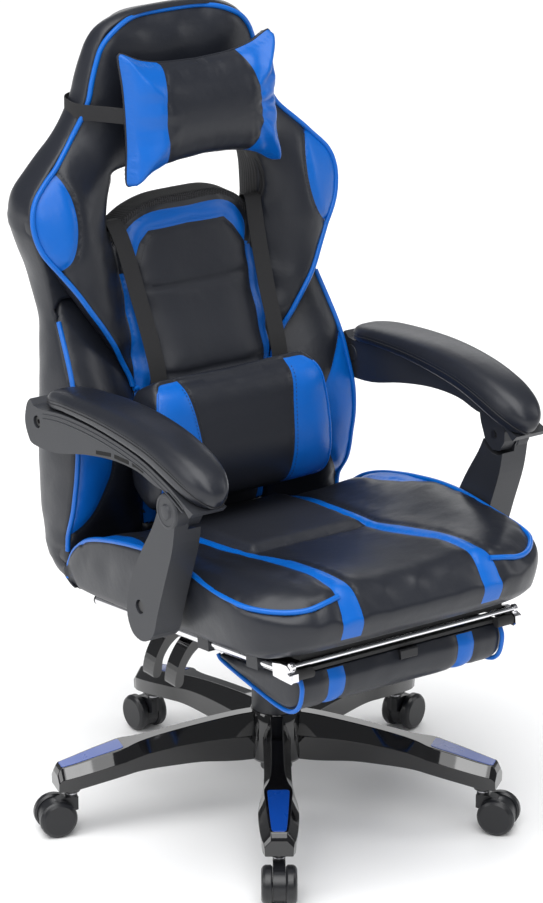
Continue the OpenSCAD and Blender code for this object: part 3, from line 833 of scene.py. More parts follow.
BOLSTER_PIPING = [(240, 778), (245, 735), (250, 691), (255, 645), (258, 604), (260, 562), (260, 522), (260, 473),
                  (256, 444), (255, 416)]
BOLSTER_EDGE = BOLSTER_PIPING + [(252, 395), (235, 374), (200, 362), (150, 358), (118, 380)]
BOLSTER_INNER = [(114, 432), (118, 480), (125, 560), (127, 640), (134, 690), (152, 735), (176, 775), (204, 806),
                 (232, 806)]
BOLSTER_LEAF = [(251, 694), (240, 676), (222, 645), (203, 608), (194, 575), (197, 545), (208, 515), (224, 484),
                (240, 458), (256, 436)]
BOLSTER_GAUGES = [
    (240, 778, 242), (245, 735, 213), (250, 691, 187), (255, 645, 172), (258, 604, 161), (260, 562, 161),
    (260, 522, 168), (260, 473, 181), (256, 444, 198), (255, 416, 202), (240, 374, 212), (192, 571, 165),
    (208, 523, 167), (228, 482, 172), (242, 459, 184), (227, 600, 158), (232, 550, 157), (215, 640, 164),
    (127, 656, 208), (126, 600, 196), (125, 560, 192), (120, 500, 196), (114, 440, 204), (150, 640, 190),
    (155, 600, 178), (155, 550, 174), (155, 500, 182), (160, 440, 198), (160, 370, 214), (210, 690, 184),
    (180, 690, 196), (150, 700, 216), (205, 735, 212), (175, 740, 226), (215, 770, 234), (190, 780, 244),
    (204, 806, 258), (232, 806, 256)]
BOLSTER_DEPTH = surface_through(BOLSTER_GAUGES)
BOLSTER_THICK, BOLSTER_LAP = 50, 16

# The shell behind the pads: outline in (x, z), its front edge's depth up the height, and the rear's
SHELL_EDGE = [(0, 1232), (46, 1231), (85, 1226), (117, 1212), (135, 1192), (145, 1167), (154, 1137), (160, 1112),
              (171, 1087), (191, 1055), (219, 1027), (245, 1002), (269, 977), (279, 951), (279, 922), (271, 890),
              (259, 858), (250, 825), (244, 795), (242, 770), (246, 735), (251, 691), (256, 645), (259, 604),
              (261, 562), (261, 522), (261, 473), (257, 444), (254, 410), (246, 380), (228, 358), (196, 347)]
SHELL_FRONT = [(340, 222), (380, 212), (416, 204), (444, 202), (473, 185), (522, 172), (562, 165), (604, 165),
               (645, 176), (691, 191), (735, 217), (778, 246), (800, 252), (831, 250), (861, 245), (893, 240),
               (924, 246), (951, 252), (975, 258), (1001, 265), (1026, 272), (1055, 282), (1088, 281),
               (1137, 281), (1190, 283), (1224, 287), (1240, 300)]
SHELL_REAR = [(340, 268), (380, 279), (420, 289), (541, 299), (660, 304), (755, 316), (831, 329), (927, 341),
              (1027, 348), (1091, 347), (1154, 342), (1210, 335), (1242, 326)]


def across(table):
    """Linear steps through (height, depth) pairs."""
    t = np.array(table, float)
    return lambda z: np.interp(z, t[:, 0], t[:, 1])


SHELL_FRONT_Y, SHELL_REAR_Y = across(SHELL_FRONT), across(SHELL_REAR)


def make_bolsters():
    outline = np.vstack([smooth(BOLSTER_EDGE, 5), smooth(BOLSTER_INNER, 5)])
    leaf = smooth(BOLSTER_LEAF, 6)
    edge = smooth(BOLSTER_PIPING, 6)
    leaf_area = np.vstack([leaf, (edge + [3, 0])[(edge[:, 1] > 436) & (edge[:, 1] < 694)][::-1]])

    def depth(p):
        return -BOLSTER_DEPTH(np.abs(p))

    for side, sign in (("right", 1), ("left", -1)):
        turn = np.array([sign, 1])
        pad = pad_solid("back_bolster_" + side, [outline * turn], [leaf * turn], BACK_SPACING, depth,
                        lambda p: depth(p) - BOLSTER_THICK, back_to_world, [BLACK, BLUE],
                        lambda c: in_region(c, leaf_area), crease=(3.5, 6.0), bulge=(2.0, 2.0), rings=5,
                        pucker=1.4)
        place_piece(pad, "back", "leather_black", "back_cushion")
        line = edge * turn
        place_piece(piping("back_bolster_piping_" + side, [(np.stack([
            line[:, 0], -depth(line) + 2.5, line[:, 1]], 1), False)], 4.0), "back", "leather_black")
        inner = respaced(leaf * turn, 3) - [4 * sign, 0]
        place_piece(stitches("back_bolster_stitches_" + side, [(np.stack([
            inner[:, 0], -depth(inner) - 0.4, inner[:, 1]], 1), False)]), "back", "leather_black")


def make_shell():
    outer = both_halves(np.vstack([smooth(SHELL_EDGE, 5), [(0, 345)]]))
    hole = both_halves(smooth(SHELL_HOLE, 5))
    pad_area = both_halves(np.vstack([smooth(HEAD_TOP + NECK + WING_LOW + PAD_FOOT[:-2], 4), PAD_FOOT[-2:]]))
    bolster = np.vstack([smooth(BOLSTER_EDGE, 4), smooth(BOLSTER_INNER, 4)])

    def front(p):
        depth = SHELL_FRONT_Y(p[:, 1])
        mirror = p * [-1, 1]
        behind = inside(p, bolster) | inside(mirror, bolster)
        depth = np.where(behind, np.maximum(depth, BOLSTER_DEPTH(np.abs(p)) + BOLSTER_LAP), depth)
        behind = inside(p, pad_area)
        return -np.where(behind, np.maximum(depth, front_y(p) + PAD_LAP), depth)

    shell = pad_solid("back_shell", [outer, hole], [], SHELL_SPACING, front, lambda p: -SHELL_REAR_Y(p[:, 1]),
                      back_to_world, [BLACK, MESH], lambda c: np.zeros(len(c), int), rim_crease=False,
                      pucker=0.0, wall_paint=hole_lining(1),
                      bulge=(7.0, 0.0), rings=16, bottom_inset=24.0, round_back=True, folds=3.0)
    place_piece(shell, "back", "leather_black", "back_cushion")


# The steel frame inside the shell: half its ring in (x, z), its depth up the height, and its cross bars
FRAME_RING = [(0, 404), (60, 404), (94, 412), (98, 480), (98, 560), (106, 700), (114, 800), (138, 858), (159, 900),
              (164, 935), (159, 985), (142, 1045), (132, 1100), (126, 1160), (112, 1190), (60, 1196), (0, 1196)]
FRAME_DEPTH = [(360, 265), (560, 266), (800, 292), (900, 306), (1010, 312), (1210, 317)]
FRAME_BARS = [(98, 560), (114, 800)]
FRAME_PLATE = [(-105, 350), (105, 350), (105, 434), (-105, 434)]
FRAME_PLATE_Y = (250.0, 257.2)
FRAME_RADIUS, PLATE_BEVEL = 8.5, 1.0


def make_back_frame():
    depth = across(FRAME_DEPTH)
    ring = both_halves(smooth(FRAME_RING, 6))
    lines = [(ring, True)] + [(np.array([(-half, z), (half, z)], float), False) for half, z in FRAME_BARS]
    lines = [(np.c_[p[:, 0], depth(p[:, 1]), p[:, 1]], closed) for p, closed in lines]
    place_piece(piping("back_frame_tubes", lines, FRAME_RADIUS, PAINT), "back", "black_steel", "back_frame")
    corners = np.array(FRAME_PLATE, float)
    rings = [np.c_[corners[:, 0], np.full(4, y), corners[:, 1]] for y in FRAME_PLATE_Y]
    verts = np.vstack(rings)
    plate = outside_out(mesh_object("back_frame_plate", verts, lofted(rings), [PAINT], flat=True))
    place_piece(bevelled(plate, PLATE_BEVEL), "back", "black_steel")


def make_back():
    make_back_frame()
    make_front_pad()
    make_bolsters()
    make_shell()


# ---------------------------------------------------------------- seat, in its own tilted frame

SEAT_EDGE = [(0, -402), (60, -402), (112, -401), (143, -399), (185, -393), (222, -376), (250, -348), (264, -319),
             (270, -282), (271, -229), (269, -178), (268, -79), (268, 17), (267, 75), (264, 147), (257, 192),
             (236, 209), (0, 210)]
SEAT_PIPING = [(138, -381, 97), (164, -384, 93), (190, -381, 88), (215, -369, 87), (240, -346, 89),
               (259, -318, 94), (267, -278, 101), (268, -229, 110), (266, -178, 122), (266, -130, 130),
               (266, -79, 133), (266, -30, 132), (266, 17, 129), (265, 75, 122), (262, 120, 111),
               (260, 150, 97), (257, 176, 80), (255, 196, 56), (254, 204, 34)]
BAND_OUT = [(136, 185), (136, 100), (134, 21), (131, -49), (125, -105), (127, -128), (131, -199), (135, -255),
            (136, -303), (138, -345), (140, -370), (143, -392), (144, -400)]
BAND_IN = [(113, 185), (113, 100), (112, 29), (110, -40), (106, -104), (102, -157), (102, -218), (107, -260),
           (111, -293), (112, -350), (110, -382), (109, -402)]
CROSS_SEAM = [(0, -96), (60, -99), (106, -104)]
SEAT_LEAF = [(266, 132), (246, 110), (234, 90), (229, 35), (240, -10), (256, -44), (267, -62)]
SEAT_LEAF_OUT = [(280, -62), (280, 132)]
SEAT_GAUGES = [
    (0, -402, 66), (60, -402, 66), (112, -401, 68), (143, -399, 66), (185, -393, 68), (222, -376, 76),
    (250, -348, 82), (267, -316, 91), (275, -280, 100), (276, -229, 110), (271, -178, 122), (268, -130, 129),
    (268, -79, 133), (268, -30, 132), (268, 17, 129), (267, 75, 122), (265, 120, 110), (264, 147, 99),
    (257, 192, 64), (236, 209, 44), (120, 210, 44), (0, 210, 44), (0, -388, 92), (60, -388, 92),
    (112, -384, 97), (140, -390, 86), (0, -370, 104), (60, -370, 105), (0, -340, 110), (60, -340, 111),
    (113, -350, 114), (135, -350, 112), (0, -290, 109), (60, -290, 111), (111, -293, 118), (134, -300, 118),
    (0, -220, 105), (60, -220, 107), (102, -218, 113), (133, -230, 116), (0, -160, 102), (60, -160, 103),
    (103, -157, 107), (128, -160, 111), (0, -100, 101), (60, -100, 102), (110, -104, 104), (122, -105, 106),
    (0, -40, 103), (60, -40, 103), (118, -40, 105), (127, -20, 106), (0, 40, 105), (60, 40, 105),
    (120, 40, 106), (0, 110, 103), (120, 110, 104), (0, 160, 92), (120, 160, 92), (0, 190, 70),
    (160, -385, 95), (165, -365, 106), (165, -340, 113), (165, -290, 117), (165, -220, 117), (165, -150, 113),
    (165, -60, 111), (165, 30, 112), (165, 110, 108), (190, -381, 89), (200, -350, 106), (205, -300, 118),
    (210, -230, 126), (215, -160, 128), (215, -79, 127), (215, 20, 125), (210, 100, 116), (215, -369, 86),
    (235, -330, 103), (240, -290, 113), (245, -230, 124), (248, -160, 132), (248, -79, 136), (248, 17, 132),
    (248, 75, 124), (245, 140, 100)]
SEAT_TOP = surface_through(SEAT_GAUGES)
SEAT_STEP = 5.0
REAR_PANEL_RISE = 10.0
SEAT_FRONT = -300         # y ahead of which the wall is the front
WALL_BAND = (109, 144)    # the blue bands on the front wall lie between these x
# Underside: its height, and how much higher it rises in front of the break
FOOT_LOW, FOOT_RISE, FOOT_BREAK = 7, 12, -320


def seat_to_world(plan, height):
    c, s = math.cos(SEAT_TILT), math.sin(SEAT_TILT)
    return np.stack([plan[:, 0], c * plan[:, 1] + s * height, SEAT_H - s * plan[:, 1] + c * height], 1)


def seat_lines(points):
    """World lines on both sides from local (x, y, height) points."""
    p = np.array(points, float)
    return [seat_to_world(p[:, :2] * [s, 1], p[:, 2]) for s in (1, -1)]


def make_seat():
    outer = both_halves(smooth(SEAT_EDGE, 5))
    band_out, band_in = smooth(BAND_OUT, 4), smooth(BAND_IN, 4)
    leaf, cross = smooth(SEAT_LEAF, 5), smooth(CROSS_SEAM, 3)
    edge = smooth(SEAT_PIPING, 5)
    front_edge = edge[edge[:, 1] < SEAT_FRONT][:, :2]
    seams = mirrored_lines([band_out, band_in, leaf, cross, front_edge])
    band_area = np.vstack([band_out, band_in[::-1]])
    leaf_area = np.vstack([leaf, SEAT_LEAF_OUT])
    rear_area = both_halves(np.vstack([[(0, -96)], cross, band_in[band_in[:, 1] > -104][::-1], [(0, 185)]]))

    def height(p):
        rise = np.where(inside(p, rear_area), distance(p, [closed_line(rear_area)]), 0)
        return SEAT_TOP(p) + REAR_PANEL_RISE * (1 - np.exp(-(rise / 7) ** 1.5)) * inside(p, rear_area)

    def wall(loop):
        middle = (loop + np.roll(loop, -1, axis=0)) / 2
        x, y = np.abs(middle[:, 0]), middle[:, 1]
        return np.where((x > WALL_BAND[0]) & (x < WALL_BAND[1]) & (y < SEAT_FRONT), 1, 0)

    def foot(p):
        return FOOT_LOW + FOOT_RISE * np.clip((FOOT_BREAK - p[:, 1]) / 80, 0, 1)

    def paint(c):
        return np.where(in_region(c, band_area, leaf_area) > 0, 1, np.where(inside(c, rear_area), 2, 0))

    pad = pad_solid("seat_pad", [outer], seams, SEAT_STEP, height, foot, seat_to_world, [BLACK, BLUE, PANEL], paint,
                    crease=(3.5, 6.0), bulge=(4.5, 0.0), rings=12, pucker=1.6, rim_crease=False,
                    wall_paint=wall, bottom_roll=(14.0, 46.0), bottom_inset=10.0, folds=2.5)
    place_piece(pad, "seat", "leather_black", "seat_cushion")
    place_piece(piping("seat_piping", [(l, False) for l in seat_lines(edge)], PIPING_WIDE), "seat",
                "leather_black")


# ---------------------------------------------------------------- neck pillow, lumbar cushion, straps

PILLOW_HALF = [(0, 1166), (60, 1169), (100, 1177), (122, 1187), (133, 1192), (138, 1190), (138, 1178), (134, 1140),
               (133, 1095), (134, 1045), (138, 1004), (138, 992), (133, 988), (120, 993), (98, 1006), (60, 1016),
               (0, 1020)]
PILLOW_SEAM = [(70, 1170), (78, 1150), (84, 1125), (87, 1095), (86, 1065), (81, 1035), (74, 1014)]
PILLOW_BACK = (206.0, 0.10, 997.0)      # depth, lean and height of the pillow's middle plane
LUMBAR_SHIFT = -13.0
LUMBAR_HALF = [(0, 495), (120, 495), (143, 499), (153, 515), (156, 550), (157, 600), (156, 645), (150, 678),
               (138, 692), (115, 696), (0, 694)]
LUMBAR_SEAM = [(98, 697), (95, 675), (90, 645), (86, 610), (83, 575), (80, 545), (77, 515), (76, 494)]
LUMBAR_FRONT = [(493, 110), (497, 97), (502, 84), (510, 70), (520, 61), (535, 54), (560, 50), (590, 52),
                (615, 57), (640, 63), (662, 69), (676, 76), (685, 84), (691, 95), (697, 110)]
LUMBAR_REAR = [(493, 112), (503, 127), (524, 145), (552, 151), (600, 152), (650, 151), (678, 143), (691, 127),
               (697, 113)]
NECK_STRAP = [(126, 214), (148, 246), (169, 272), (176, 288), (176, 310), (170, 332), (154, 348), (120, 354),
              (0, 356)]
NECK_STRAP_Z = (1082.0, 1107.0)
LUMBAR_STRAP = [(113, 156, 662), (113, 158.5, 685), (113, 165, 708), (114, 178, 740), (115, 193, 772),
                (117, 208, 805), (119, 223, 840), (122, 238, 875), (126, 251, 902), (129, 260, 915),
                (131, 271, 917), (131, 285, 908), (131, 300, 893)]
LUMBAR_STRAP_WIDTH, STRAP_THICKNESS = 29.0, 1.8
# Corners of a strap's section, in half widths and half thicknesses
RIBBON_SECTION = [(1, 0.6), (0.96, 1), (-0.96, 1), (-1, 0.6), (-1, -0.6), (-0.96, -1), (0.96, -1), (1, -0.6)]


def plump(away, full, power=0.5):
    """0 at a seam, rising like a filled bag to 1 at the full distance from it."""
    t = np.clip(away / full, 0, 1)
    return (1 - (1 - t) ** 2.2) ** power


def gathers(p, centre, count, height, seed):
    """Soft folds that run out from a centre."""
    rel = p - np.array(centre)
    turn = np.arctan2(rel[:, 1], np.abs(rel[:, 0])) * count
    reach = np.linalg.norm(rel, axis=1)
    return height * np.array([noise.noise(Vector((a, r * 0.012, seed))) for a, r in zip(turn, reach)])


def make_pillow():
    outline = both_halves(smooth(PILLOW_HALF, 6))
    seam = smooth(PILLOW_SEAM, 5)
    y0, lean, z0 = PILLOW_BACK
    ends = np.vstack([seam, [(150, 980), (150, 1200)]])

    def swell(p, depth, seed):
        away = distance(p, [closed_line(outline)])
        side = np.abs(p[:, 0])
        pull = np.clip((side - 60) / 60, 0, 1)
        slack = gathers(p * [1, 1], (62, 1095), 5.0, 9.0, seed + 0.0) * pull
        slack += gathers(p, (150, 1095), 3.0, 5.0, seed + 4.0) * pull
        return depth * plump(away, 74.0) + slack * plump(away, 26.0, 1.0)

    def to_world(p, h):
        return np.stack([p[:, 0], y0 + lean * (p[:, 1] - z0) - h, p[:, 1]], 1)

    pad = pad_solid("neck_pillow_cover", [outline], mirrored_lines([seam]), 4.0, lambda p: swell(p, 52, 2.0) + 1.2,
                    lambda p: -swell(p, 35, 8.0) - 1.2, to_world, [BLACK, BLUE], lambda c: in_region(c, ends),
                    crease=(2.6, 5.0), bulge=(1.4, 0), rings=3, pucker=1.6, rim_crease=False)
    place_piece(pad, "back", "pillow_leather", "neck_pillow")
    edge = respaced(outline, 4, True)
    place_piece(piping("neck_pillow_edge", [(to_world(edge, 0.0), True)], 1.7, BLACK), "back", "pillow_leather")


def make_lumbar():
    outline = both_halves(smooth(LUMBAR_HALF, 5))
    seam = smooth(LUMBAR_SEAM, 4)
    ends = np.vstack([seam, [(170, 480), (170, 700)]])
    front, rear = across(smooth(LUMBAR_FRONT, 4)), across(smooth(LUMBAR_REAR, 4))

    def face(p):
        side = np.clip((np.abs(p[:, 0]) - 105) / 55, 0, 1)
        return -front(p[:, 1]) - 13 * side ** 3

    def to_world(p, h):
        return np.stack([p[:, 0] + LUMBAR_SHIFT, -h, p[:, 1]], 1)

    def cap(loop):
        return np.zeros(len(loop), int)

    pad = pad_solid("lumbar_cushion_cover", [outline], mirrored_lines([seam]), 4.5, face,
                    lambda p: -rear(p[:, 1]), to_world, [BLACK, BLUE], lambda c: in_region(c, ends),
                    crease=(2.0, 4.0), bulge=(5.0, 0), rings=12, pucker=0.8, rim_crease=False, wall_paint=cap)
    place_piece(pad, "lumbar", "pillow_leather", "lumbar_cushion")
    rows = []
    for line in mirrored_lines([seam + [4, 0], seam - [4, 0]]):
        line = respaced(line, 3)
        line = line[(line[:, 1] > 505) & (line[:, 1] < 690)]
        rows.append((to_world(line, face(line) + 0.6), False))
    place_piece(stitches("lumbar_stitches", rows), "lumbar", "pillow_leather")
    edge = respaced(outline, 4, True)
    rims = []
    for sign in (1, -1):
        side = edge[edge[:, 0] * sign > 141]
        side = side[np.argsort(side[:, 1])]
        rims.append((to_world(side, face(side) + 0.5), False))
    place_piece(piping("lumbar_rims", rims, 1.5, BLUE), "lumbar", "pillow_leather")


def ribbon(name, points, across_way, width, thickness, material):
    """A flat strap along 3D points (mm), closed all round."""
    p = respaced(smooth(points, 6), 5)
    side = np.array(across_way, float)
    up = unit(np.cross(unit(np.gradient(p, axis=0)), side))
    half, thick = side * width / 2, up * thickness / 2
    rows = [p + half * k + thick * j for k, j in RIBBON_SECTION]
    n, sides = len(p), len(rows)
    faces = [(a * n + i, a * n + i + 1, b * n + i + 1, b * n + i)
             for a, b in zip(range(sides), [*range(1, sides), 0]) for i in range(n - 1)]
    faces += [tuple(k * n for k in range(sides)), tuple(k * n + n - 1 for k in range(sides))]
    return outside_out(mesh_object(name, np.vstack(rows), faces, [material], flat=True))


def make_straps():
    z0, z1 = NECK_STRAP_Z
    half = [(x, y, (z0 + z1) / 2) for x, y in NECK_STRAP]
    loop = half + [(-x, y, z) for x, y, z in half[-2::-1]]
    place_piece(ribbon("neck_strap_band", loop, (0, 0, 1), z1 - z0, STRAP_THICKNESS, STRAP), "back",
                "strap_black", "neck_strap")
    for side, sign in (("right", 1), ("left", -1)):
        line = [(x * sign, y, z) for x, y, z in LUMBAR_STRAP]
        band = ribbon("lumbar_strap_" + side, line, (1, 0, 0), LUMBAR_STRAP_WIDTH, STRAP_THICKNESS, STRAP)
        place_piece(band, "back", "strap_black", "lumbar_straps")


# ---------------------------------------------------------------- armrests

ARM_X = 285.0
ARM_OUT = 323.0
# Stations along an arm pad: top (y, z), bottom (y, z), half width
ARM_STATIONS = [((176, 688), (176, 679), 9), ((173, 697), (173, 677.5), 20), ((160, 704), (160, 677.5), 28),
                ((134, 711), (134, 680.5), 34), ((100, 717), (100, 686.5), 38), ((20, 726), (20, 690.5), 41),
                ((-60, 730), (-60, 688), 42), ((-140, 726), (-130, 680), 41), ((-201, 715), (-186, 666), 40),
                ((-239, 702), (-216, 655.5), 37), ((-262, 688), (-237, 648), 31), ((-275, 672), (-250, 643), 22),
                ((-277, 658), (-259, 641), 11), ((-273, 650), (-265, 641.5), 5)]
KNUCKLE = (-191.0, 621.0)


def arm_section(top, bottom, half):
    """One closed ring of an arm pad: a flat foot, upright flanks and a domed top."""
    top, bottom = np.array(top, float), np.array(bottom, float)
    ring = []
    for a in circle(36):
        c, s = math.cos(a), math.sin(a)
        x = half * math.copysign(abs(c) ** (0.62 if s > 0 else 0.35), c)
        rise = 0.36 + (0.64 * abs(s) ** 0.95 if s > 0 else -0.36 * abs(s) ** 0.5)
        ring.append((x, *(bottom + (top - bottom) * rise)))
    return ring


def make_arm_pads():
    flat = smooth([(*t, *b, h) for t, b, h in ARM_STATIONS], 4)
    for side, sign in (("right", 1), ("left", -1)):
        rings = [arm_section(r[:2], r[2:4], r[4]) for r in flat]
        verts = np.array([p for ring in rings for p in ring])
        verts[:, 0] = (verts[:, 0] + ARM_X) * sign
        pad = outside_out(mesh_object("arm_pad_cover_" + side, verts, lofted(rings), [BLACK]))
        body = "arm_" + side
        place_piece(pad, body, "leather_black", "arm_pad_" + side)
        seam = []
        for r in flat[2:-1]:
            top, bottom = np.array(r[:2]), np.array(r[2:4])
            seam.append(((ARM_X + r[4] + 0.3), *(bottom + (top - bottom) * 0.40)))
        inner = [(2 * ARM_X - x, y, z) for x, y, z in seam[::-1]]
        loop = np.array(seam + inner)
        loop[:, 0] *= sign
        low = loop - [0, 0, 1.0]
        place_piece(stitches("arm_pad_stitches_" + side, [(respaced(loop + [0, 0, 4.0], 3), False)], pitch=5.0),
                    body, "leather_black")
        place_piece(piping("arm_pad_seam_" + side, [(low, False)], 0.8, THREAD), body, "leather_black")


# ---------------------------------------------------------------- footrest pad, in the seat's frame

FOOT_HALF = 184.0
FOOT_SIDE = [(-331, -27), (-335, -35), (-337, -48), (-326, -74), (-302, -87), (-262, -84), (-190, -66),
             (-135, -51), (-116, -44), (-112, -39)]
FOOT_BANDS = (104.0, 133.0)
# The pad's ends swell outwards in rings: scale of the section and distance out, then the middle point
FOOT_ENDS, FOOT_TIP = ((0.93, 3.0), (0.75, 6.0), (0.4, 8.0)), 8.5


def make_footrest():
    profile = respaced(smooth(FOOT_SIDE, 5), 5.5)
    lid = np.array([(-118 - 212 * t, -38 + 13 * t) for t in np.linspace(0, 1, 40)])
    ring = np.vstack([profile, lid])
    xs = np.unique(np.r_[np.linspace(-FOOT_HALF, FOOT_HALF, 75), [s * b for s in (1, -1) for b in FOOT_BANDS]])
    centre = ring.mean(0)
    out = outward(ring)
    padded = np.r_[np.ones(len(profile)), np.zeros(len(lid))]
    ease = np.convolve(np.r_[padded[-3:], padded, padded[:3]], np.ones(7) / 7, "valid") * padded
    rows = []
    for x in xs:
        seam = min(abs(abs(x) - b) for b in FOOT_BANDS)
        edge = FOOT_HALF - abs(x)
        sink = -2.6 * math.exp(-(seam / 5) ** 1.3) - 5.0 * math.exp(-(edge / 7) ** 1.2)
        ripple = [1.2 * noise.noise(Vector((x * 0.03, q[0] * 0.03, q[1] * 0.03))) for q in ring]
        move = (sink + np.array(ripple)) * ease
        rows.append(np.c_[np.full(len(ring), x), ring + out * move[:, None]])
    n, m = len(rows), len(ring)
    verts = np.vstack(rows)
    faces, tags = [], []
    for i in range(n - 1):
        blue = FOOT_BANDS[0] <= abs((xs[i] + xs[i + 1]) / 2) <= FOOT_BANDS[1]
        for j in range(m):
            k = (j + 1) % m
            faces.append((i * m + j, i * m + k, (i + 1) * m + k, (i + 1) * m + j))
            tags.append(1 if blue and j < len(profile) - 1 else 0)
    verts = list(verts)
    for end, x in ((0, -FOOT_HALF), (n - 1, FOOT_HALF)):
        last = [end * m + j for j in range(m)]
        base = np.array([verts[k] for k in last])
        for shrink, swell in FOOT_ENDS:
            inner = base.copy()
            inner[:, 1:] = centre + (base[:, 1:] - centre) * shrink
            inner[:, 0] += math.copysign(swell, x)
            first = len(verts)
            verts += list(inner)
            new = [first + j for j in range(m)]
            for j in range(m):
                k = (j + 1) % m
                faces.append((last[j], last[k], new[k], new[j]))
                tags.append(0)
            last = new
        verts.append(np.array([x + math.copysign(FOOT_TIP, x), *centre]))
        for j in range(m):
            faces.append((last[j], last[(j + 1) % m], len(verts) - 1))
            tags.append(0)
    verts = np.array(verts)
    world = seat_to_world(verts[:, :2], verts[:, 2])
    pad = outside_out(mesh_object("footrest_cover", world, faces, [BLACK, BLUE], tags))
    place_piece(pad, "footrest_flap", "leather_black", "footrest_pad")
    lines = []
    for x in (-FOOT_HALF, FOOT_HALF):
        edge = profile + out[:len(profile)] * 0.5
        lines.append((seat_to_world(np.c_[np.full(len(edge), x), edge[:, 0]], edge[:, 1]), False))
    place_piece(piping("footrest_piping", lines, 3.6), "footrest_flap", "leather_black")


# ---------------------------------------------------------------- finishes of the frame's own pieces

FINISHES = {
    GLOSS: ("height_lever_paddle", "recline_lever_paddle"),
    CASTER: ("caster_hood", "caster_wheel"),
    SHELL: ("arm_shell", "arm_strut", "dust_cover", "footrest_guides"),
    PAINT: ("gas_lift_tube", "mechanism", "arm_front_bolts", "knuckle_pins", "height_lever_rod",
            "recline_lever_rod", "back_bracket"),
    ZINC: ("caster_stems", "recline_spring", "seat_bolts", "back_bolts"),
    CHROME: ("gas_lift_rod", "recline_pin", "footrest_rails", "footrest_end_brackets", "footrest_pivot_bolts"),
    BOARD: ("seat_board",)}


def finish_frame():
    """Gives each node of the frame that still shows its finish, by the start of its name."""
    for material, starts in FINISHES.items():
        for name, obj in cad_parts.items():
            if name.startswith(starts):
                for slot in obj.material_slots:
                    slot.material = material


# ---------------------------------------------------------------- star base

LEGS = 5
LEG_TURN = math.radians(-123.3)
# Along a leg: reach, top z, top half width, crease z, crease half width, foot z, foot half width
LEG_STATIONS = [(20, 164, 9.5, 127, 22, 84, 14), (60, 163, 9.5, 128, 22, 85, 15),
                (90, 160.5, 9.5, 129, 21.5, 88, 16), (130, 156, 9.5, 129, 21.5, 93, 17),
                (175, 150, 9.8, 127, 21.5, 94, 18),
                (210, 144.5, 11, 123.5, 22.5, 94, 19), (235, 140.5, 15, 119.5, 25.5, 93, 21),
                (254, 137, 21.5, 116, 28.5, 91, 24), (276, 132, 20.5, 113, 31, 88.5, 27),
                (298, 127, 19, 109, 31.5, 85.5, 28.5), (330, 119, 16.5, 102.5, 29.5, 79.5, 27.5),
                (350, 114.5, 14, 98, 26.5, 76, 25), (357, 112.5, 12.5, 96, 24, 75.5, 23),
                (363, 101, 12, 90, 22.5, 75.5, 21.5)]
# Sleeves, as (radius, z): the caster socket under each leg's tip, and the hub
TIP_BOSS = [(6, 67.5), (13.5, 67.5), (15, 69), (16, 92), (6, 92)]
TIP_REACH = 338.0
BOSS_TURNS = 28
HUB = [(30, 80), (40, 80), (45, 86), (47, 100), (47, 122), (45.5, 142), (43.5, 158), (40, 165.5), (30, 166)]
HUB_TURNS = 60
# Blue plate on a leg: half width along the reach, and how far it stands proud and reaches down
INSERT_OUTLINE = [(256.5, 13.5), (257.5, 15.6), (260, 16.9), (264, 16.9), (280, 16.2), (300, 15), (320, 13.8),
                  (340, 12.4), (350, 11.4), (353.5, 10.4), (355.5, 8.4)]
INSERT_PROUD, INSERT_SUNK = 0.8, 4


def turned(points, angle):
    """Points turned about the middle column."""
    c, s = math.cos(angle), math.sin(angle)
    p = np.array(points, float)
    return np.stack([p[:, 0] * c - p[:, 1] * s, p[:, 0] * s + p[:, 1] * c, p[:, 2]], 1)


def sleeve(profile, reach, turns):
    """A thick upright sleeve at a reach from the middle, from (radius, z) pairs."""
    points = [(reach + r * math.cos(a), r * math.sin(a), z) for r, z in profile for a in circle(turns)]
    last = (len(profile) - 1) * turns
    faces = lofted([range(turns)] * len(profile), False)
    faces += [(last + j, j, (j + 1) % turns, last + (j + 1) % turns) for j in range(turns)]
    return np.array(points), faces


def make_base():
    stations = smooth(LEG_STATIONS, 3)
    rings = [[(r, wt, zt), (r, wm, zm), (r, wf, zf), (r, -wf, zf), (r, -wm, zm), (r, -wt, zt)]
             for r, zt, wt, zm, wm, zf, wf in stations]
    angles = [LEG_TURN + i * 2 * math.pi / LEGS for i in range(LEGS)]
    moulding = Parts()
    for angle in angles:
        moulding.add(turned(np.vstack(rings), angle), lofted(rings))
    moulding.add(*sleeve(HUB, 0, HUB_TURNS))
    boss, boss_faces = sleeve(TIP_BOSS, TIP_REACH, BOSS_TURNS)
    for angle in angles:
        moulding.add(turned(boss, angle), boss_faces)
    place_piece(bevelled(moulding.mesh("base_moulding", GLOSS), 1.8), "base", "gloss_black", "star_base")

    outline = np.array(INSERT_OUTLINE, float)
    reach = np.unique(np.r_[outline[:, 0], np.arange(262, 352, 4)])
    width = np.interp(reach, outline[:, 0], outline[:, 1])
    top = np.interp(reach, stations[:, 0], stations[:, 1])
    strip = [[(r, w, z + INSERT_PROUD), (r, w, z - INSERT_SUNK), (r, -w, z - INSERT_SUNK),
              (r, -w, z + INSERT_PROUD)] for r, w, z in zip(reach, width, top)]
    plates = Parts()
    for angle in angles:
        plates.add(turned(np.vstack(strip), angle), lofted(strip))
    place_piece(bevelled(plates.mesh("base_insert_plates", INSERT, flat=True), 0.5, angle=40), "base", "inset_blue",
                "base_inserts")


# ---------------------------------------------------------------- arm shells: ribs and slots

PAD_FOOT_LINE = [(-240, 646), (-190, 665), (-110, 683), (0, 690), (100, 686), (160, 676)]
RIB_DROPS, RIB_RADIUS = (7.0, 14.0), 1.3
SHELL_LOW = [(-160, 652), (-110, 660), (-40, 656), (40, 640), (120, 618)]
# Slots, as near-black blocks that paint the shade inside them: their ends in y, their edges above the shell's foot
# line, and their depth and rise in x
SLOTS, SLOT_EDGES, SLOT_DEPTH, SLOT_RISE = [(-128, -98), (-88, -48), (-38, 4)], (10.5, 4.5), 3, 0.35
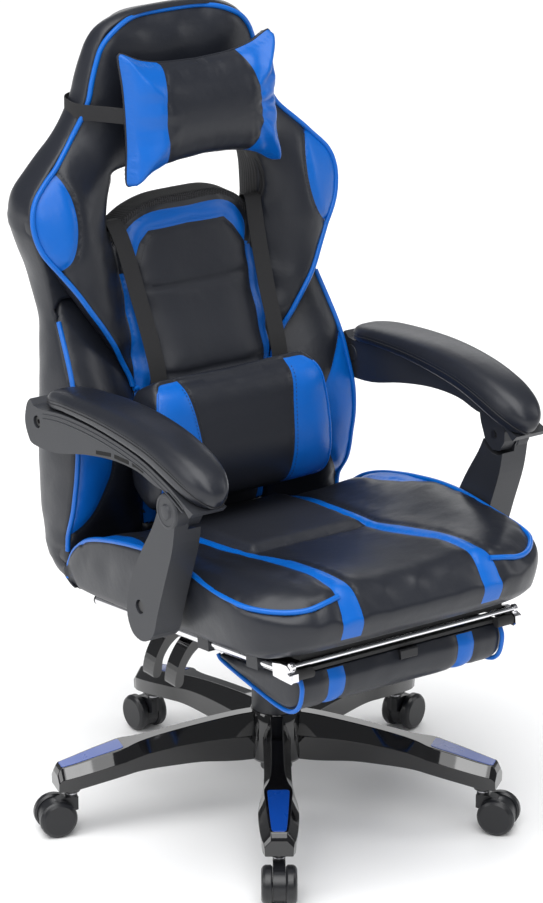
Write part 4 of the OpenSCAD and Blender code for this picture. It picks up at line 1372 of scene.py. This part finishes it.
# Turned parts, as (x, radius), and the (y, z) of the rear bolt's axis
PART_TURNS = 40
KNUCKLE_DRUM = [(302, 0), (302, 28), (321, 28), (323.5, 26.5), (324.2, 24.5), (324.2, 22.5), (323.3, 21.5),
                (323.3, 12.5), (324.2, 11.5), (326, 10), (326.6, 6), (326.6, 0)]
REAR_BOSS = [(263, 0), (263, 13), (267, 15), (271, 19), (276, 19), (276, 0)]
REAR_BOLT = [(270, 0), (270, 4.6), (315.5, 4.6), (315.5, 8.3), (319.5, 8.3), (320, 7.8), (320, 3.6), (317, 3.4),
             (317, 0)]
REAR_AXIS = (176.0, 652.0)


def arm_foot_line(drop):
    """Points (y, z) below the pad's foot line."""
    foot = smooth(PAD_FOOT_LINE, 8)
    ahead = np.gradient(foot, axis=0)
    return foot + unit(np.stack([ahead[:, 1], -ahead[:, 0]], 1)) * drop


def turned_part(name, profile, centre, sign, material):
    """A part turned about an axis across the chair, from (x, radius) pairs."""
    angles = circle(PART_TURNS)
    rows = [np.c_[np.full(PART_TURNS, x * sign), centre[0] + r * np.cos(angles), centre[1] + r * np.sin(angles)]
            for x, r in profile]
    part = mesh_object(name, np.vstack(rows), lofted(rows, False), [material])
    return bevelled(outside_out(part, merge=1e-6), 0.3, 1, 30)


def make_arm_trim():
    low_y, low_z = np.array(SHELL_LOW, float).T
    for side, sign in (("right", 1), ("left", -1)):
        arm = "arm_" + side
        ribs = []
        for drop in RIB_DROPS:
            line = arm_foot_line(drop)
            ribs.append((np.c_[np.full(len(line), (ARM_OUT - 0.3) * sign), line], False))
        place_piece(piping("arm_shell_ribs_" + side, ribs, RIB_RADIUS, SHELL), arm, "black_plastic")
        slots = Parts()
        for start, end in SLOTS:
            y = np.linspace(start, end, 7)
            z = np.interp(y, low_y, low_z)
            ring = np.vstack([np.c_[y, z + SLOT_EDGES[0]], np.c_[y, z + SLOT_EDGES[1]][::-1]])
            rings = [np.c_[np.full(len(ring), x * sign), ring] for x in (ARM_OUT - SLOT_DEPTH, ARM_OUT + SLOT_RISE)]
            slots.add(np.vstack(rings), lofted(rings))
        # the slot blocks are near-black: painted shade where the slots open into the shell
        place_piece(slots.mesh("arm_shell_slots_" + side, SLOT_SHADE, flat=True), arm, "black_plastic")
        place_piece(turned_part("arm_knuckle_drum_" + side, KNUCKLE_DRUM, KNUCKLE, sign, SHELL), "strut_" + side,
                    "black_plastic")
        place_piece(turned_part("arm_rear_boss_" + side, REAR_BOSS, REAR_AXIS, sign, SHELL), arm, "black_plastic")
        place_piece(turned_part("arm_rear_bolt_head_" + side, REAR_BOLT, REAR_AXIS, sign, PAINT), arm,
                    "black_steel", "arm_rear_bolt_" + side)


# ---------------------------------------------------------------- footrest rod, board and latch, rail caps

# In the seat's frame: turned parts as (x, radius) at a (y, height), slabs as (y, height) outlines
CROSS_ROD = [(-208, 0), (-208, 5), (-206.5, 6.5), (-201, 6.5), (-199.5, 5), (-199.5, 3.6), (199.5, 3.6), (199.5, 5),
             (201, 6.5), (206.5, 6.5), (208, 5), (208, 0)]
ROD_AT = (-345.0, -3.5)
BOARD_EDGE = [(-334, -16), (-120, -35), (-120, -40), (-334, -22)]
HINGE_AT = (-345.0, -19.2)
HINGE = [(168, 0), (168, 6.5), (169.5, 8), (196.5, 8), (198, 6.5), (198, 0)]
# Plug in the rear end of each rail: the rail's x and height, and the plug as (y, radius)
RAIL_X, RAIL_HEIGHT = 200, -15.6
RAIL_CAP = [(196, 5), (206.2, 5), (206.2, 8.1), (210, 8.1), (211, 7)]
BOARD_HALF, LATCH_ENDS = 181, (-6, 25)
LATCH = [(-339, -24), (-340.8, -26), (-340.8, -38), (-338, -40), (-333, -40), (-330, -24)]


def in_seat_frame(obj):
    """Moves a mesh made in the seat's own frame to the world."""
    points = np.array([v.co for v in obj.data.vertices]) / MM
    moved = seat_to_world(points[:, :2], points[:, 2]) * MM
    obj.data.vertices.foreach_set("co", moved.ravel())
    obj.data.update()
    return obj


def slab(name, profile, low, high, material):
    """A flat part of one (y, height) profile between two x."""
    rings = [[(x, *p) for p in profile] for x in (low, high)]
    return outside_out(mesh_object(name, np.vstack(rings), lofted(rings), [material], flat=True))


def make_footrest_metal():
    rod = in_seat_frame(turned_part("footrest_cross_rod", CROSS_ROD, ROD_AT, 1, CHROME))
    place_piece(rod, "footrest_slider", "chrome", "footrest_crossbar")
    board = bevelled(in_seat_frame(slab("footrest_base_board", BOARD_EDGE, -BOARD_HALF, BOARD_HALF, BOARD)), 1.0)
    place_piece(board, "footrest_flap", "board_black", "footrest_board")
    for side, sign in (("right", 1), ("left", -1)):
        hinge = turned_part("footrest_hinge_" + side, HINGE, HINGE_AT, sign, BOARD)
        place_piece(in_seat_frame(hinge), "footrest_flap", "board_black")
        rings = [[(RAIL_X * sign + r * math.cos(a), y, RAIL_HEIGHT + r * math.sin(a)) for a in circle(24)]
                 for y, r in RAIL_CAP]
        cap = mesh_object("rail_cap_" + side, np.vstack(rings), lofted(rings), [CASTER], flat=True)
        place_piece(in_seat_frame(outside_out(cap)), "footrest_slider", "black_plastic")
    latch = bevelled(in_seat_frame(slab("footrest_latch", LATCH, *LATCH_ENDS, CASTER)), 0.8)
    place_piece(latch, "footrest_flap", "black_plastic")


make_camera()
make_studio()
make_back()
make_seat()
make_pillow()
make_lumbar()
make_straps()
make_arm_pads()
make_arm_trim()
make_footrest()
make_footrest_metal()
make_base()
finish_frame()
